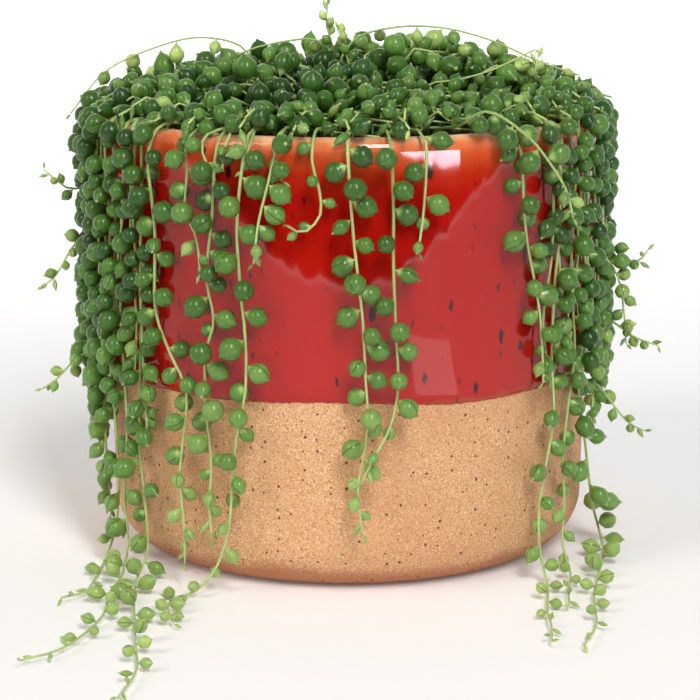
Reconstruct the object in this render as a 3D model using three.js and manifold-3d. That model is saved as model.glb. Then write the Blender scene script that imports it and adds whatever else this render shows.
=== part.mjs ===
// Potted string of pearls: a glazed clay cover pot filled with soil, with a crown of round leaves in the
// middle and strands of pearls that root in the soil, arch over the rim and hang down the wall.
// The longest strands reach the surface that the pot stands on and trail along it.
//
// Millimetres, +Z up. The origin is the centre of the pot's foot, on the surface that it stands on.
// Azimuths are degrees round the pot: 0 is the front (-Y), 90 is the right (+X), 180 is the back.

import * as THREE from 'three';
import { mergeVertices } from 'three/addons/utils/BufferGeometryUtils.js';
import Module from 'manifold-3d';

const wasm = await Module();
wasm.setup();

// Pot: a slightly tapered cylinder with a rounded foot and a rounded lip.
const POT_HEIGHT = 140;
const RIM_RADIUS = 80;
const FOOT_RADIUS = 76.7;
const FOOT_ROUNDING = 16.5;
const WALL = 5.5;
const FLOOR_THICKNESS = 7;
const INNER_TAPER = 2.5;
const INNER_ROUNDING = 6;
const POT_SEGMENTS = 32;

// Glaze: a glass coat that runs down from the lip and stops in a wavy edge above the bare foot.
const GLAZE_EDGE_HEIGHT = 59.5;
const GLAZE_EDGE_WAVE = 1.2;
const GLAZE_THICKNESS = 0.7;
const GLAZE_GAP = 0.3;
const GLAZE_INNER_DROP = 3.6;
const GLAZE_DEPTH = GLAZE_GAP + GLAZE_THICKNESS;
const CLAY_HEIGHT = POT_HEIGHT - GLAZE_DEPTH;
const CLAY_RIM_RADIUS = RIM_RADIUS - GLAZE_DEPTH;
const LIP_ROUNDING = WALL / 2;

// Soil: a full plug, 0.3 mm clear of the pot, with one plain hole for each strand.
const CLEARANCE = 0.3;
const SOIL_TOP = 133.5;
const HOLE_RADIUS = 2.4;
const HOLE_DEPTH = 6;
const HOLE_SIDES = 4;

// Stems and pearls.
const STEM_RADIUS = 0.9;
const STEM_SIDES = 3;
const STEM_STEP = 14.5;
const TWIG_RADIUS = 0.65;
const TWIG_STEP = 8;
const PEARL_RADIUS = 3.6;
const PEARL_SIDES = 5;
const PETIOLE = 1.2;
const TIP_INSET = 0.8;
const PEARL_LOW_RING = { radius: 0.86, height: -0.5 };
const PEARL_HIGH_RING = { radius: 0.9, height: 0.42 };
const PEARL_TIP = 1.25;
const PEARL_GROWTH = 34;
const SAFE_GAP = 0.5;

// Pearls along a stem: step is the stem's own step, spacing is between pearls, start is the bare stretch
// at the root, and the radius grows from the tip's to the full one.
const STRAND_PEARLS = { step: STEM_STEP, spacing: 27, start: 14, tipRadius: 1.9, fullRadius: PEARL_RADIUS };
const TWIG_PEARLS = { step: TWIG_STEP, spacing: 11, start: 6, tipRadius: 1.6, fullRadius: 3 };
const RUNNER_PEARLS = { step: TWIG_STEP, spacing: 17, start: 8, tipRadius: 2, fullRadius: 3 };

// Strands: where they root, arch over the rim and hang.
const ROOT_RADIUS = 62;
const ROOT_SPREAD = 7;
const STRAIGHT_RISE = 6;
const ARCH_HEIGHT = 148;
const ARCH_SPREAD = 4;
const RIM_CROSSING_RADIUS = 82;
const HANG_RADIUS = 85;
const TRAIL_HEIGHT = 2.2;

// Crown: a dense mound of pearls, one out of each facet of a smaller core.
const CORE_RADIUS = 52;
const CORE_HEIGHT = 21;
const CORE_DETAIL = 2;
const CORE_GATHER = 1.35;
const CROWN_PEARL_RADIUS = 4.3;
const CROWN_PEARL_SIDES = 6;
const CROWN_PEARL_LIFT = 0.8;
const CROWN_PEARL_TIP = 1.1;
const CROWN_LEAST_RISE = 0.3;
const CROWN_BARE_HEM = 5;
const CROWN_DEPTH = 8;

// Strands that hang in front and at the sides, from left to right, with their points chosen by hand:
// hang is [azimuth, height] or [azimuth, height, distance from the pot's axis], trail is [x, y] on the
// surface, and a twig is a fine side shoot that leaves the stem at the height of its first number.
const CHOSEN_STRANDS = [
  { name: 'strand_left_8', hang: [[-100, 137], [-100, 115], [-100, 92], [-99, 70], [-98, 50], [-97, 34]] },
  {
    name: 'strand_left_7',
    hang: [[-92, 137], [-92, 115], [-93, 95], [-92, 75], [-91, 60]],
    twigs: [[115, [-90, 114, 90], [-88, 117, 94], [-87, 121, 98]]],
  },
  {
    name: 'strand_left_6',
    hang: [[-84, 137], [-85, 115], [-85, 95], [-84, 75], [-82, 58], [-81, 46]],
    twigs: [[103, [-83, 97, 89], [-81, 88, 95], [-80, 85, 99]]],
  },
  {
    name: 'strand_left_5',
    hang: [[-77, 137], [-78, 112], [-77, 90], [-76, 70], [-75, 52], [-74, 36]],
    twigs: [[66, [-78, 61, 90], [-80, 55, 95], [-81, 51, 100]]],
  },
  {
    name: 'strand_left_4',
    hang: [[-70, 137], [-70, 112], [-70, 90], [-69, 68], [-68, 48], [-68, 30], [-67, 14]],
  },
  {
    name: 'strand_left_3',
    hang: [[-63, 137], [-64, 110], [-64, 85], [-63, 62], [-62, 42], [-62, 24], [-63, 9]],
    trail: [[-77, -52], [-78, -66], [-80, -79], [-86, -84]],
  },
  {
    name: 'strand_left_2',
    hang: [[-56, 137], [-57, 110], [-57, 86], [-58, 64], [-57, 45], [-57, 23], [-57, 9]],
    trail: [[-70, -58], [-72, -80], [-72, -101], [-76, -120], [-82, -134], [-91, -142]],
  },
  {
    name: 'strand_left_1',
    hang: [[-50, 137], [-51, 110], [-51, 85], [-51, 60], [-50, 40], [-50, 22], [-50, 8]],
    trail: [[-65, -66], [-64, -88], [-62, -109], [-60, -130], [-58, -150], [-61, -172]],
  },
  {
    name: 'strand_front_1',
    hang: [
      [-44.5, 134], [-43, 110], [-43, 85], [-39, 73], [-35, 63], [-36, 47], [-37, 35], [-36, 20], [-36, 8],
    ],
  },
  { name: 'strand_front_2', hang: [[-34, 138], [-34, 129], [-34.5, 117], [-32, 110], [-31, 99]] },
  {
    name: 'strand_front_3',
    hang: [
      [-27, 136], [-28, 118], [-29.5, 97], [-28, 85], [-30, 75], [-30, 57], [-29, 41], [-29.5, 27],
      [-29, 17],
    ],
  },
  {
    name: 'strand_front_4',
    hang: [
      [-21, 134], [-22.5, 115], [-22, 97], [-21, 82], [-21, 65], [-23, 51], [-24, 38], [-25, 22], [-28, 9],
    ],
    trail: [[-46, -77], [-52, -84], [-57, -88]],
    twigs: [[2, [-31, 2, 104], [-28, 2, 112], [-25, 2, 120]]],
  },
  { name: 'strand_front_5', hang: [[-14, 138], [-15, 128, 89], [-17, 116, 89], [-18, 104, 89]] },
  { name: 'strand_front_6', hang: [[-7, 134], [-5.5, 125], [-5.5, 118], [-9, 113], [-12, 115]] },
  {
    name: 'strand_front_7',
    hang: [[0, 137], [1, 114], [2, 100], [3, 86], [3.5, 70], [4, 57], [3, 45], [2, 36], [3, 22]],
  },
  {
    name: 'strand_front_8',
    hang: [[8.5, 138], [9, 120], [9, 106], [9.5, 85], [10, 65], [8, 55, 88], [5, 47, 90], [2.5, 39, 90]],
  },
  { name: 'strand_front_9', hang: [[15.5, 139], [15.5, 129], [15, 118], [14, 107]] },
  {
    name: 'strand_front_10',
    root: 23,
    hang: [[30, 147, 82], [36, 140, 89.5], [41, 132, 90.5], [46, 122, 91], [48, 114, 91]],
  },
  {
    name: 'strand_front_11',
    hang: [[37, 135], [38, 120], [39, 108], [41, 97], [43, 85], [44, 73], [44.5, 63]],
  },
  {
    name: 'strand_right_1',
    hang: [[50, 137], [50, 112], [50, 90], [50, 70], [49, 50], [47, 34], [45, 20], [44, 8]],
    trail: [[61, -72], [60, -85], [59, -98], [59, -112], [58, -125]],
  },
  {
    name: 'strand_right_2',
    hang: [[57, 137], [57, 112], [57, 90], [57, 70], [56, 52], [55, 36], [54, 22], [54, 9]],
    trail: [[69, -60], [67, -76], [66, -92]],
  },
  {
    name: 'strand_right_3',
    hang: [[64, 137], [64, 112], [63, 90], [62, 70], [62, 52], [64, 38], [68, 27], [73, 16], [78, 7]],
    trail: [[82, -32], [77, -64], [74, -84], [72, -111], [67, -128]],
  },
  {
    name: 'strand_right_4',
    hang: [[71, 137], [71, 112], [71, 90], [70, 70], [70, 54], [69, 42]],
    twigs: [[56, [73, 49, 88], [75, 42, 93], [76, 39, 98]]],
  },
  {
    name: 'strand_right_5',
    hang: [[78, 137], [78, 114], [78, 92], [78, 72], [77, 58]],
    twigs: [[96, [79, 88, 88], [79, 78, 90], [80, 66, 91]]],
  },
  {
    name: 'strand_right_6',
    hang: [[85, 137], [86, 115], [86, 95], [85, 76], [84, 62], [84, 50]],
    twigs: [
      [100, [84, 93, 89], [83, 92, 94], [82, 96, 97]],
      [74, [84, 70, 89], [83, 67, 94], [82, 65, 101]],
    ],
  },
  { name: 'strand_right_7', hang: [[93, 137], [93, 115], [93, 95], [93, 78], [92, 66]] },
  { name: 'strand_right_8', hang: [[101, 137], [101, 112], [101, 90], [100, 68], [99, 48], [99, 34]] },
];

// The curtain behind repeats at even lanes, with drops that vary from lane to lane.
const BACK_STRANDS = 12;
const BACK_FIRST_AZIMUTH = 112;
const BACK_LAST_AZIMUTH = 249;
const BACK_LONGEST_END = 14;
const BACK_SHORTEST_END = 92;
const BACK_SWAY = 2;
const BACK_TRAILING = [3, 8];
const BACK_TRAIL_REACH = [94, 106, 118];

// Runner stems that arch over the crown, as [x, y, z].
const RUNNERS = [
  [[-30, 2, 146], [-33, 0, 159], [-47, -1, 163], [-64, -2, 159], [-78, -3, 152], [-89, -4, 139]],
  [[-2, 3, 148], [-8, 3, 161], [-27, 4, 160], [-43, 6, 154], [-53, 7, 153], [-59, 8, 157]],
  [[-6, 2, 148], [2, 1, 162], [14, 0, 166], [30, 0, 166], [46, -1, 162], [62, -1, 155], [74, -1, 151]],
  [[20, -18, 140], [25, -24, 150], [34, -28, 152], [44, -29, 155], [53, -28, 159], [58, -24, 161]],
];

const COLOURS = {
  clay: { color: '#c08e66', roughness: 0.9, metalness: 0 },
  glaze: { color: '#a3201c', roughness: 0.12, metalness: 0 },
  soil: { color: '#2f2118', roughness: 1, metalness: 0 },
  leaf: { color: '#4b8338', roughness: 0.35, metalness: 0 },
  darkLeaf: { color: '#356a2d', roughness: 0.35, metalness: 0 },
};

const radians = THREE.MathUtils.degToRad;
const clamp = THREE.MathUtils.clamp;

// A number from 0 to 1 that spreads evenly as the index grows.
function spread(index, offset = 0) {
  const value = index * 0.6180339887 + offset;
  return value - Math.floor(value);
}

function aroundPot(azimuth, distance, height) {
  const angle = radians(azimuth);
  return new THREE.Vector3(distance * Math.sin(angle), -distance * Math.cos(angle), height);
}

// Joining and cutting ---------------------------------------------------------------------------

function toSolid(geometry) {
  const bare = new THREE.BufferGeometry();
  bare.setAttribute('position', geometry.getAttribute('position').clone());
  if (geometry.index) bare.setIndex(geometry.index.clone());
  const merged = mergeVertices(bare, 1e-4);
  const corners = merged.index.array;
  const kept = [];
  for (let i = 0; i < corners.length; i += 3) {
    const [a, b, c] = [corners[i], corners[i + 1], corners[i + 2]];
    if (a !== b && b !== c && c !== a) kept.push(a, b, c);
  }
  const mesh = new wasm.Mesh({
    numProp: 3,
    vertProperties: Float32Array.from(merged.getAttribute('position').array),
    triVerts: Uint32Array.from(kept),
  });
  return new wasm.Manifold(mesh);
}

function toMesh(name, solid, look) {
  const { vertProperties, triVerts } = solid.getMesh();
  const geometry = new THREE.BufferGeometry();
  geometry.setAttribute('position', new THREE.BufferAttribute(vertProperties, 3));
  geometry.setIndex(new THREE.BufferAttribute(triVerts, 1));
  geometry.computeVertexNormals();
  const mesh = new THREE.Mesh(geometry, new THREE.MeshStandardMaterial({ ...look, flatShading: true }));
  mesh.name = name;
  return mesh;
}

function joined(solids) {
  return solids.reduce((whole, piece) => whole.add(piece));
}

// A solid of revolution round +Z from [radius, height] points.
function turned(profile, segments) {
  const points = profile.map(([radius, height]) => new THREE.Vector2(radius, height));
  return new THREE.LatheGeometry(points, segments).rotateX(Math.PI / 2);
}

// Points on an arc of a profile, with angles in degrees from outwards (0) to up (90).
function arc(centreRadius, centreHeight, radius, from, to, steps) {
  return Array.from({ length: steps + 1 }, (_, i) => {
    const angle = radians(from + ((to - from) * i) / steps);
    return [centreRadius + radius * Math.cos(angle), centreHeight + radius * Math.sin(angle)];
  });
}

// Pot -------------------------------------------------------------------------------------------

function clayRadius(height) {
  const rise = (height - FOOT_ROUNDING) / (CLAY_HEIGHT - FOOT_ROUNDING);
  return FOOT_RADIUS + (CLAY_RIM_RADIUS - FOOT_RADIUS) * rise;
}

const LIP_HEIGHT = CLAY_HEIGHT - LIP_ROUNDING;
const LIP_CENTRE = clayRadius(LIP_HEIGHT) - LIP_ROUNDING;
const MOUTH_RADIUS = LIP_CENTRE - LIP_ROUNDING;

function innerRadius(height) {
  const depth = (LIP_HEIGHT - height) / (LIP_HEIGHT - FLOOR_THICKNESS);
  return MOUTH_RADIUS - INNER_TAPER * depth;
}

function clayPot() {
  const cornerHeight = FLOOR_THICKNESS + INNER_ROUNDING;
  const cornerRadius = innerRadius(cornerHeight) - INNER_ROUNDING;
  const profile = [
    [0, 0],
    ...arc(FOOT_RADIUS - FOOT_ROUNDING, FOOT_ROUNDING, FOOT_ROUNDING, -90, 0, 4),
    ...arc(LIP_CENTRE, LIP_HEIGHT, LIP_ROUNDING, 0, 180, 3),
    ...arc(cornerRadius, cornerHeight, INNER_ROUNDING, 0, -90, 1),
    [0, FLOOR_THICKNESS],
  ];
  return toMesh('clay_pot', toSolid(turned(profile, POT_SEGMENTS)), COLOURS.clay);
}

function glazeCoat() {
  const near = GLAZE_GAP;
  const far = GLAZE_DEPTH;
  const innerEnd = POT_HEIGHT - GLAZE_INNER_DROP - LIP_ROUNDING;
  const profile = [
    [clayRadius(GLAZE_EDGE_HEIGHT) + near, GLAZE_EDGE_HEIGHT],
    [clayRadius(GLAZE_EDGE_HEIGHT) + far, GLAZE_EDGE_HEIGHT],
    ...arc(LIP_CENTRE, LIP_HEIGHT, LIP_ROUNDING + far, 0, 180, 3),
    [MOUTH_RADIUS - far, innerEnd],
    [MOUTH_RADIUS - near, innerEnd],
    ...arc(LIP_CENTRE, LIP_HEIGHT, LIP_ROUNDING + near, 180, 0, 3),
    [clayRadius(GLAZE_EDGE_HEIGHT) + near, GLAZE_EDGE_HEIGHT],
  ];
  const geometry = turned(profile, POT_SEGMENTS);
  const place = geometry.getAttribute('position');
  for (let i = 0; i < place.count; i += 1) {
    if (Math.abs(place.getZ(i) - GLAZE_EDGE_HEIGHT) < 0.01) {
      const angle = Math.atan2(place.getY(i), place.getX(i));
      const wave = 0.6 * Math.sin(3 * angle + 0.5) + 0.4 * Math.sin(7 * angle);
      place.setZ(i, GLAZE_EDGE_HEIGHT + GLAZE_EDGE_WAVE * wave);
    }
  }
  return toMesh('glaze_coat', toSolid(geometry), COLOURS.glaze);
}

// Strand routes ---------------------------------------------------------------------------------

function backStrandRows() {
  const lane = (BACK_LAST_AZIMUTH - BACK_FIRST_AZIMUTH) / (BACK_STRANDS - 1);
  return Array.from({ length: BACK_STRANDS }, (_, i) => {
    const azimuth = BACK_FIRST_AZIMUTH + lane * i;
    const trails = BACK_TRAILING.includes(i);
    const end = trails ? 9 : BACK_LONGEST_END + (BACK_SHORTEST_END - BACK_LONGEST_END) * spread(i, 0.3);
    const steps = 5;
    const hang = Array.from({ length: steps + 1 }, (_, k) => {
      const sway = BACK_SWAY * spread(i, 0.5) * Math.sin(k * 1.7 + i);
      return [azimuth + sway, 137 + ((end - 137) * k) / steps];
    });
    const trail = trails
      ? BACK_TRAIL_REACH.map((reach, k) => aroundPot(azimuth + 4 * k, reach, 0)).map(({ x, y }) => [x, y])
      : [];
    return { name: `strand_back_${i + 1}`, hang, trail };
  });
}

// A strand rises straight out of its hole, arches over the rim, hangs, and then trails on the surface.
function strandRoute(row, index) {
  const [firstAzimuth, firstHeight] = row.hang[0];
  const rootAzimuth = row.root ?? firstAzimuth;
  const rootRadius = ROOT_RADIUS + ROOT_SPREAD * spread(index);
  const arch = ARCH_HEIGHT + ARCH_SPREAD * spread(index, 0.4);
  const points = [
    aroundPot(rootAzimuth, rootRadius, SOIL_TOP - HOLE_DEPTH + 0.6),
    aroundPot(rootAzimuth, rootRadius, SOIL_TOP - 1),
    aroundPot(rootAzimuth, rootRadius, SOIL_TOP + STRAIGHT_RISE),
    aroundPot((rootAzimuth + firstAzimuth) / 2, (rootRadius + RIM_CROSSING_RADIUS) / 2 + 1, arch),
  ];
  if (firstHeight < POT_HEIGHT) {
    points.push(aroundPot(firstAzimuth, RIM_CROSSING_RADIUS, Math.max(firstHeight + 6, POT_HEIGHT + 4)));
  }
  for (const [azimuth, height, distance = HANG_RADIUS] of row.hang) {
    points.push(aroundPot(azimuth, distance, height));
  }
  for (const [x, y] of row.trail ?? []) {
    points.push(new THREE.Vector3(x, y, TRAIL_HEIGHT));
  }
  return new THREE.CatmullRomCurve3(points);
}

// The point of a route that lies nearest to a height, past the rim.
function pointAtHeight(route, height) {
  const points = route.getSpacedPoints(120).slice(24);
  return points.reduce((best, p) => (Math.abs(p.z - height) < Math.abs(best.z - height) ? p : best));
}

function twigRoutes(row, route) {
  return (row.twigs ?? []).map(([height, ...ends]) => {
    const start = pointAtHeight(route, height);
    const points = ends.map(([azimuth, z, distance]) => aroundPot(azimuth, distance, z));
    return new THREE.CatmullRomCurve3([start, ...points]);
  });
}

function runnerRoute(points) {
  return new THREE.CatmullRomCurve3(points.map((point) => new THREE.Vector3(...point)));
}

function stepsOf(route, step) {
  return Math.max(3, Math.round(route.getLength() / step));
}

function tube(route, radius, step) {
  const corner = (i) => {
    const angle = (2 * Math.PI * i) / STEM_SIDES;
    return new THREE.Vector2(radius * Math.cos(angle), radius * Math.sin(angle));
  };
  const section = new THREE.Shape(Array.from({ length: STEM_SIDES }, (_, i) => corner(i)));
  const options = { steps: stepsOf(route, step), extrudePath: route, bevelEnabled: false };
  return new THREE.ExtrudeGeometry(section, options);
}

// A point on the middle line of a tube, whose stretches are straight between its steps.
function pointOnTube(route, step, along) {
  const steps = stepsOf(route, step);
  const points = route.getSpacedPoints(steps);
  const place = clamp(along, 0, 1) * steps;
  const first = Math.min(Math.floor(place), steps - 1);
  return points[first].clone().lerp(points[first + 1], place - first);
}

// Pearls ----------------------------------------------------------------------------------------

// A pearl is a round leaf with a point at its far end and a short stalk that tapers to the stem.
// It is turned about +Z here, with its centre at the origin, then aimed and placed.
function pearlSolid({ root, centre, radius }) {
  const ring = ({ radius: share, height }) => [share * radius, height * radius];
  const stalkEnd = [0, -root.distanceTo(centre)];
  const profile = [stalkEnd, ring(PEARL_LOW_RING), ring(PEARL_HIGH_RING), [0, PEARL_TIP * radius]];
  const geometry = turned(profile, PEARL_SIDES);
  const aim = new THREE.Vector3().subVectors(centre, root).normalize();
  geometry.applyQuaternion(new THREE.Quaternion().setFromUnitVectors(new THREE.Vector3(0, 0, 1), aim));
  geometry.translate(centre.x, centre.y, centre.z);
  return toSolid(geometry);
}

// Distance from a point to the glazed pot and to the crown's core, outside both.
function clearOfPot(point, radius) {
  const across = Math.hypot(point.x, point.y);
  const lip = Math.hypot(across - LIP_CENTRE, point.z - LIP_HEIGHT) - LIP_ROUNDING - GLAZE_DEPTH;
  const need = radius + SAFE_GAP;
  if (point.z < radius + 0.2) return false;
  if (across > LIP_CENTRE) return point.z < LIP_HEIGHT ? across - RIM_RADIUS > need : lip > need;
  const beyondCrown = across - CORE_RADIUS - CROWN_DEPTH > need;
  const aboveCrown = point.z - SOIL_TOP - coreHeight(across) - CROWN_DEPTH > need;
  return lip > need && point.z - SOIL_TOP > need && (beyondCrown || aboveCrown);
}

function coreHeight(across) {
  if (across >= CORE_RADIUS) return 0;
  return CORE_HEIGHT * Math.sqrt(1 - (across / CORE_RADIUS) ** 2);
}

// What is already in place: stems as rows of balls, pearls as a ball, a point and a stalk.
const taken = [];

function isClear(point, radius, owner) {
  return taken.every((ball) => {
    const need = ball.radius + radius + SAFE_GAP;
    return ball.owner === owner || ball.point.distanceTo(point) > need;
  });
}

function takeStem(route, owner) {
  for (const point of route.getSpacedPoints(Math.ceil(route.getLength()))) {
    taken.push({ point, radius: STEM_RADIUS, owner });
  }
}

function apartFromOwn(centre, radius, pearls) {
  return pearls.every((pearl) => pearl.centre.distanceTo(centre) > 0.95 * (pearl.radius + radius));
}

// Directions that a pearl may take from its stem: to one side, to the other, or away from the pot.
function pearlAims(point, tangent, index) {
  const radial = new THREE.Vector3(point.x, point.y, 0).normalize();
  const lying = point.z < 5;
  const away = lying ? new THREE.Vector3(0, 0, 1) : radial.clone();
  if (point.z > POT_HEIGHT) away.set(radial.x * 0.4, radial.y * 0.4, 1);
  away.addScaledVector(tangent, -away.dot(tangent)).normalize();
  const side = new THREE.Vector3().crossVectors(tangent, away).normalize();
  const turn = index % 2 === 0 ? 1 : -1;
  const droop = lying || point.z > POT_HEIGHT ? 0 : -0.35;
  return [[turn, 0.3], [-turn, 0.3], [turn, 0.9], [-turn, 0.9], [0, 1]].map(([sideways, outwards]) => {
    const aim = side.clone().multiplyScalar(sideways).addScaledVector(away, lying ? 0.05 : outwards);
    aim.z += droop;
    return aim.normalize();
  });
}

function placePearl(point, tangent, radius, index, owner, pearls) {
  for (const aim of pearlAims(point, tangent, index)) {
    const centre = point.clone().addScaledVector(aim, radius + PETIOLE);
    centre.z = Math.max(centre.z, radius + 0.3);
    const tip = centre.clone().addScaledVector(aim, 1.15 * radius);
    const fits = clearOfPot(centre, radius) && clearOfPot(tip, 0.15 * radius)
      && isClear(centre, radius, owner) && isClear(tip, 0.15 * radius, owner)
      && apartFromOwn(centre, radius, pearls);
    if (fits) {
      const stalk = point.clone().lerp(centre, 0.25);
      taken.push({ point: centre, radius, owner }, { point: tip, radius: 0.2 * radius, owner });
      taken.push({ point: stalk, radius: 0.4 * radius, owner });
      pearls.push({ root: point, centre, radius });
      return;
    }
  }
}

// Pearls at even steps back from the tip: small at the tip, full size from a few steps on.
function pearlsAlong(route, owner, pearls, { step, spacing, start, tipRadius, fullRadius }) {
  const length = route.getLength();
  const count = Math.floor((length - start) / spacing) + 1;
  for (let i = 0; i < count; i += 1) {
    const along = (length - TIP_INSET - i * spacing) / length;
    const radius = THREE.MathUtils.lerp(tipRadius, fullRadius, clamp((i * spacing) / PEARL_GROWTH, 0, 1));
    placePearl(pointOnTube(route, step, along), route.getTangentAt(along), radius, i, owner, pearls);
  }
}

function strand(row, route) {
  const pearls = [];
  const twigs = twigRoutes(row, route);
  pearlsAlong(route, row.name, pearls, STRAND_PEARLS);
  for (const twig of twigs) pearlsAlong(twig, row.name, pearls, TWIG_PEARLS);
  const stems = [toSolid(tube(route, STEM_RADIUS, STEM_STEP))];
  for (const twig of twigs) stems.push(toSolid(tube(twig, TWIG_RADIUS, TWIG_STEP)));
  return toMesh(row.name, joined([...stems, ...pearls.map(pearlSolid)]), COLOURS.leaf);
}

// Crown -----------------------------------------------------------------------------------------

// The core is a ball squashed to a dome, with its lower half pressed flat on the soil. Its facets are
// gathered towards the top, so that they come out at about one size all over the dome.
function crownCore() {
  const ball = new THREE.IcosahedronGeometry(1, CORE_DETAIL);
  ball.deleteAttribute('normal');
  ball.deleteAttribute('uv');
  const core = mergeVertices(ball);
  const place = core.getAttribute('position');
  for (let i = 0; i < place.count; i += 1) {
    const share = Math.min(Math.hypot(place.getX(i), place.getY(i)), 1);
    const across = CORE_RADIUS * share ** CORE_GATHER;
    const height = place.getZ(i) > 0 ? coreHeight(across) : 0;
    const stretch = across / Math.max(share, 1e-6);
    place.setXYZ(i, stretch * place.getX(i), stretch * place.getY(i), SOIL_TOP + CLEARANCE + height);
  }
  return core;
}

// Rings of points round a pearl that grows along aim, in line with the corners of its facet.
function pearlRing(centre, aim, corner, size, { radius, height }) {
  const ahead = corner.clone().sub(centre);
  ahead.addScaledVector(aim, -ahead.dot(aim)).normalize();
  const across = new THREE.Vector3().crossVectors(aim, ahead);
  return Array.from({ length: CROWN_PEARL_SIDES }, (_, k) => {
    const angle = (2 * Math.PI * k) / CROWN_PEARL_SIDES;
    return centre.clone().addScaledVector(aim, size * height)
      .addScaledVector(ahead, size * radius * Math.cos(angle))
      .addScaledVector(across, size * radius * Math.sin(angle));
  });
}

// Faces of one pearl raised from a facet [a, b, c]: a skirt, a belly and a pointed top.
function raisedPearl(facet, radius) {
  const [a, b, c] = facet;
  const aim = new THREE.Triangle(a, b, c).getNormal(new THREE.Vector3());
  const foot = new THREE.Triangle(a, b, c).getMidpoint(new THREE.Vector3());
  aim.z = Math.max(aim.z, CROWN_LEAST_RISE);
  aim.normalize();
  const centre = foot.clone().addScaledVector(aim, CROWN_PEARL_LIFT * radius);
  centre.z = Math.max(centre.z, SOIL_TOP + radius + 1);
  const low = pearlRing(centre, aim, a, radius, PEARL_LOW_RING);
  const high = pearlRing(centre, aim, a, radius, PEARL_HIGH_RING);
  const tip = centre.clone().addScaledVector(aim, CROWN_PEARL_TIP * radius);
  const faces = [];
  for (let i = 0; i < 3; i += 1) {
    const next = facet[(i + 1) % 3];
    const [r0, r1, r2] = [low[2 * i], low[2 * i + 1], low[(2 * i + 2) % CROWN_PEARL_SIDES]];
    faces.push([facet[i], r1, r0], [facet[i], next, r1], [next, r2, r1]);
  }
  for (let k = 0; k < CROWN_PEARL_SIDES; k += 1) {
    const after = (k + 1) % CROWN_PEARL_SIDES;
    faces.push([low[k], low[after], high[after]], [low[k], high[after], high[k]]);
    faces.push([high[k], high[after], tip]);
  }
  return faces;
}

function crownMound() {
  const core = crownCore();
  const place = core.getAttribute('position');
  const corners = core.index.array;
  const point = (i) => new THREE.Vector3().fromBufferAttribute(place, corners[i]);
  const faces = [];
  for (let i = 0; i < corners.length; i += 3) {
    const facet = [point(i), point(i + 1), point(i + 2)];
    const grounded = facet.some(({ z }) => z < SOIL_TOP + CLEARANCE + 0.01);
    const bare = grounded && facet.every(({ z }) => z < SOIL_TOP + CROWN_BARE_HEM);
    const radius = CROWN_PEARL_RADIUS * (0.85 + 0.2 * spread(i));
    faces.push(...(bare ? [facet] : raisedPearl(facet, radius)));
  }
  return toSolid(new THREE.BufferGeometry().setFromPoints(faces.flat()));
}

function crown(runners) {
  const owner = 'crown';
  const solids = [crownMound()];
  for (const route of runners) {
    const along = [];
    pearlsAlong(route, owner, along, RUNNER_PEARLS);
    solids.push(toSolid(tube(route, STEM_RADIUS, TWIG_STEP)), ...along.map(pearlSolid));
  }
  return toMesh(owner, joined(solids), COLOURS.darkLeaf);
}

// Soil ------------------------------------------------------------------------------------------

function soil(routes) {
  const bottom = FLOOR_THICKNESS + CLEARANCE;
  const cornerHeight = bottom + INNER_ROUNDING;
  const profile = [
    [0, bottom],
    [innerRadius(bottom) - INNER_ROUNDING - CLEARANCE, bottom],
    [innerRadius(cornerHeight) - 2 * CLEARANCE, cornerHeight + INNER_ROUNDING],
    [innerRadius(SOIL_TOP) - 2 * CLEARANCE, SOIL_TOP],
    [0, SOIL_TOP],
  ];
  const holes = routes.map((route) => {
    const root = route.getPoint(0);
    const hole = new THREE.CylinderGeometry(HOLE_RADIUS, HOLE_RADIUS, 2 * HOLE_DEPTH, HOLE_SIDES);
    return toSolid(hole.rotateX(Math.PI / 2).translate(root.x, root.y, SOIL_TOP));
  });
  const plug = holes.reduce((whole, hole) => whole.subtract(hole), toSolid(turned(profile, POT_SEGMENTS)));
  return toMesh('soil', plug, COLOURS.soil);
}

// The whole plant -------------------------------------------------------------------------------

function pottedStringOfPearls() {
  const rows = [...CHOSEN_STRANDS, ...backStrandRows()];
  const routes = rows.map(strandRoute);
  const runners = RUNNERS.map(runnerRoute);
  rows.forEach((row, i) => {
    takeStem(routes[i], row.name);
    twigRoutes(row, routes[i]).forEach((twig) => takeStem(twig, row.name));
  });
  runners.forEach((runner) => takeStem(runner, 'crown'));

  const plant = new THREE.Group();
  plant.add(clayPot(), glazeCoat(), soil(routes));
  plant.add(crown(runners));
  rows.forEach((row, i) => plant.add(strand(row, routes[i])));
  return plant;
}

export default pottedStringOfPearls();
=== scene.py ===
"""The looks of a potted string of pearls.

A round stoneware cover pot, glazed red above a bare foot, holds a trailing succulent whose leaves are
beads. Lengths are metres, +Z is up and the origin is the middle of the pot's foot. Azimuths are degrees
round the pot: 0 is the front (-Y), 90 the right (+X) and 180 the back.
"""

import logging
import math
import random
from collections import defaultdict
from collections.abc import Iterable, Mapping, Sequence
from dataclasses import dataclass, field
from enum import Enum
from typing import Any

import bmesh
import bpy
from bmesh.types import BMEdge, BMesh, BMVert
from bpy.types import ColorRamp, Material, Mesh, Node, NodeSocket, NodeTree, Object
from mathutils import Matrix, Quaternion, Vector, noise


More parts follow.
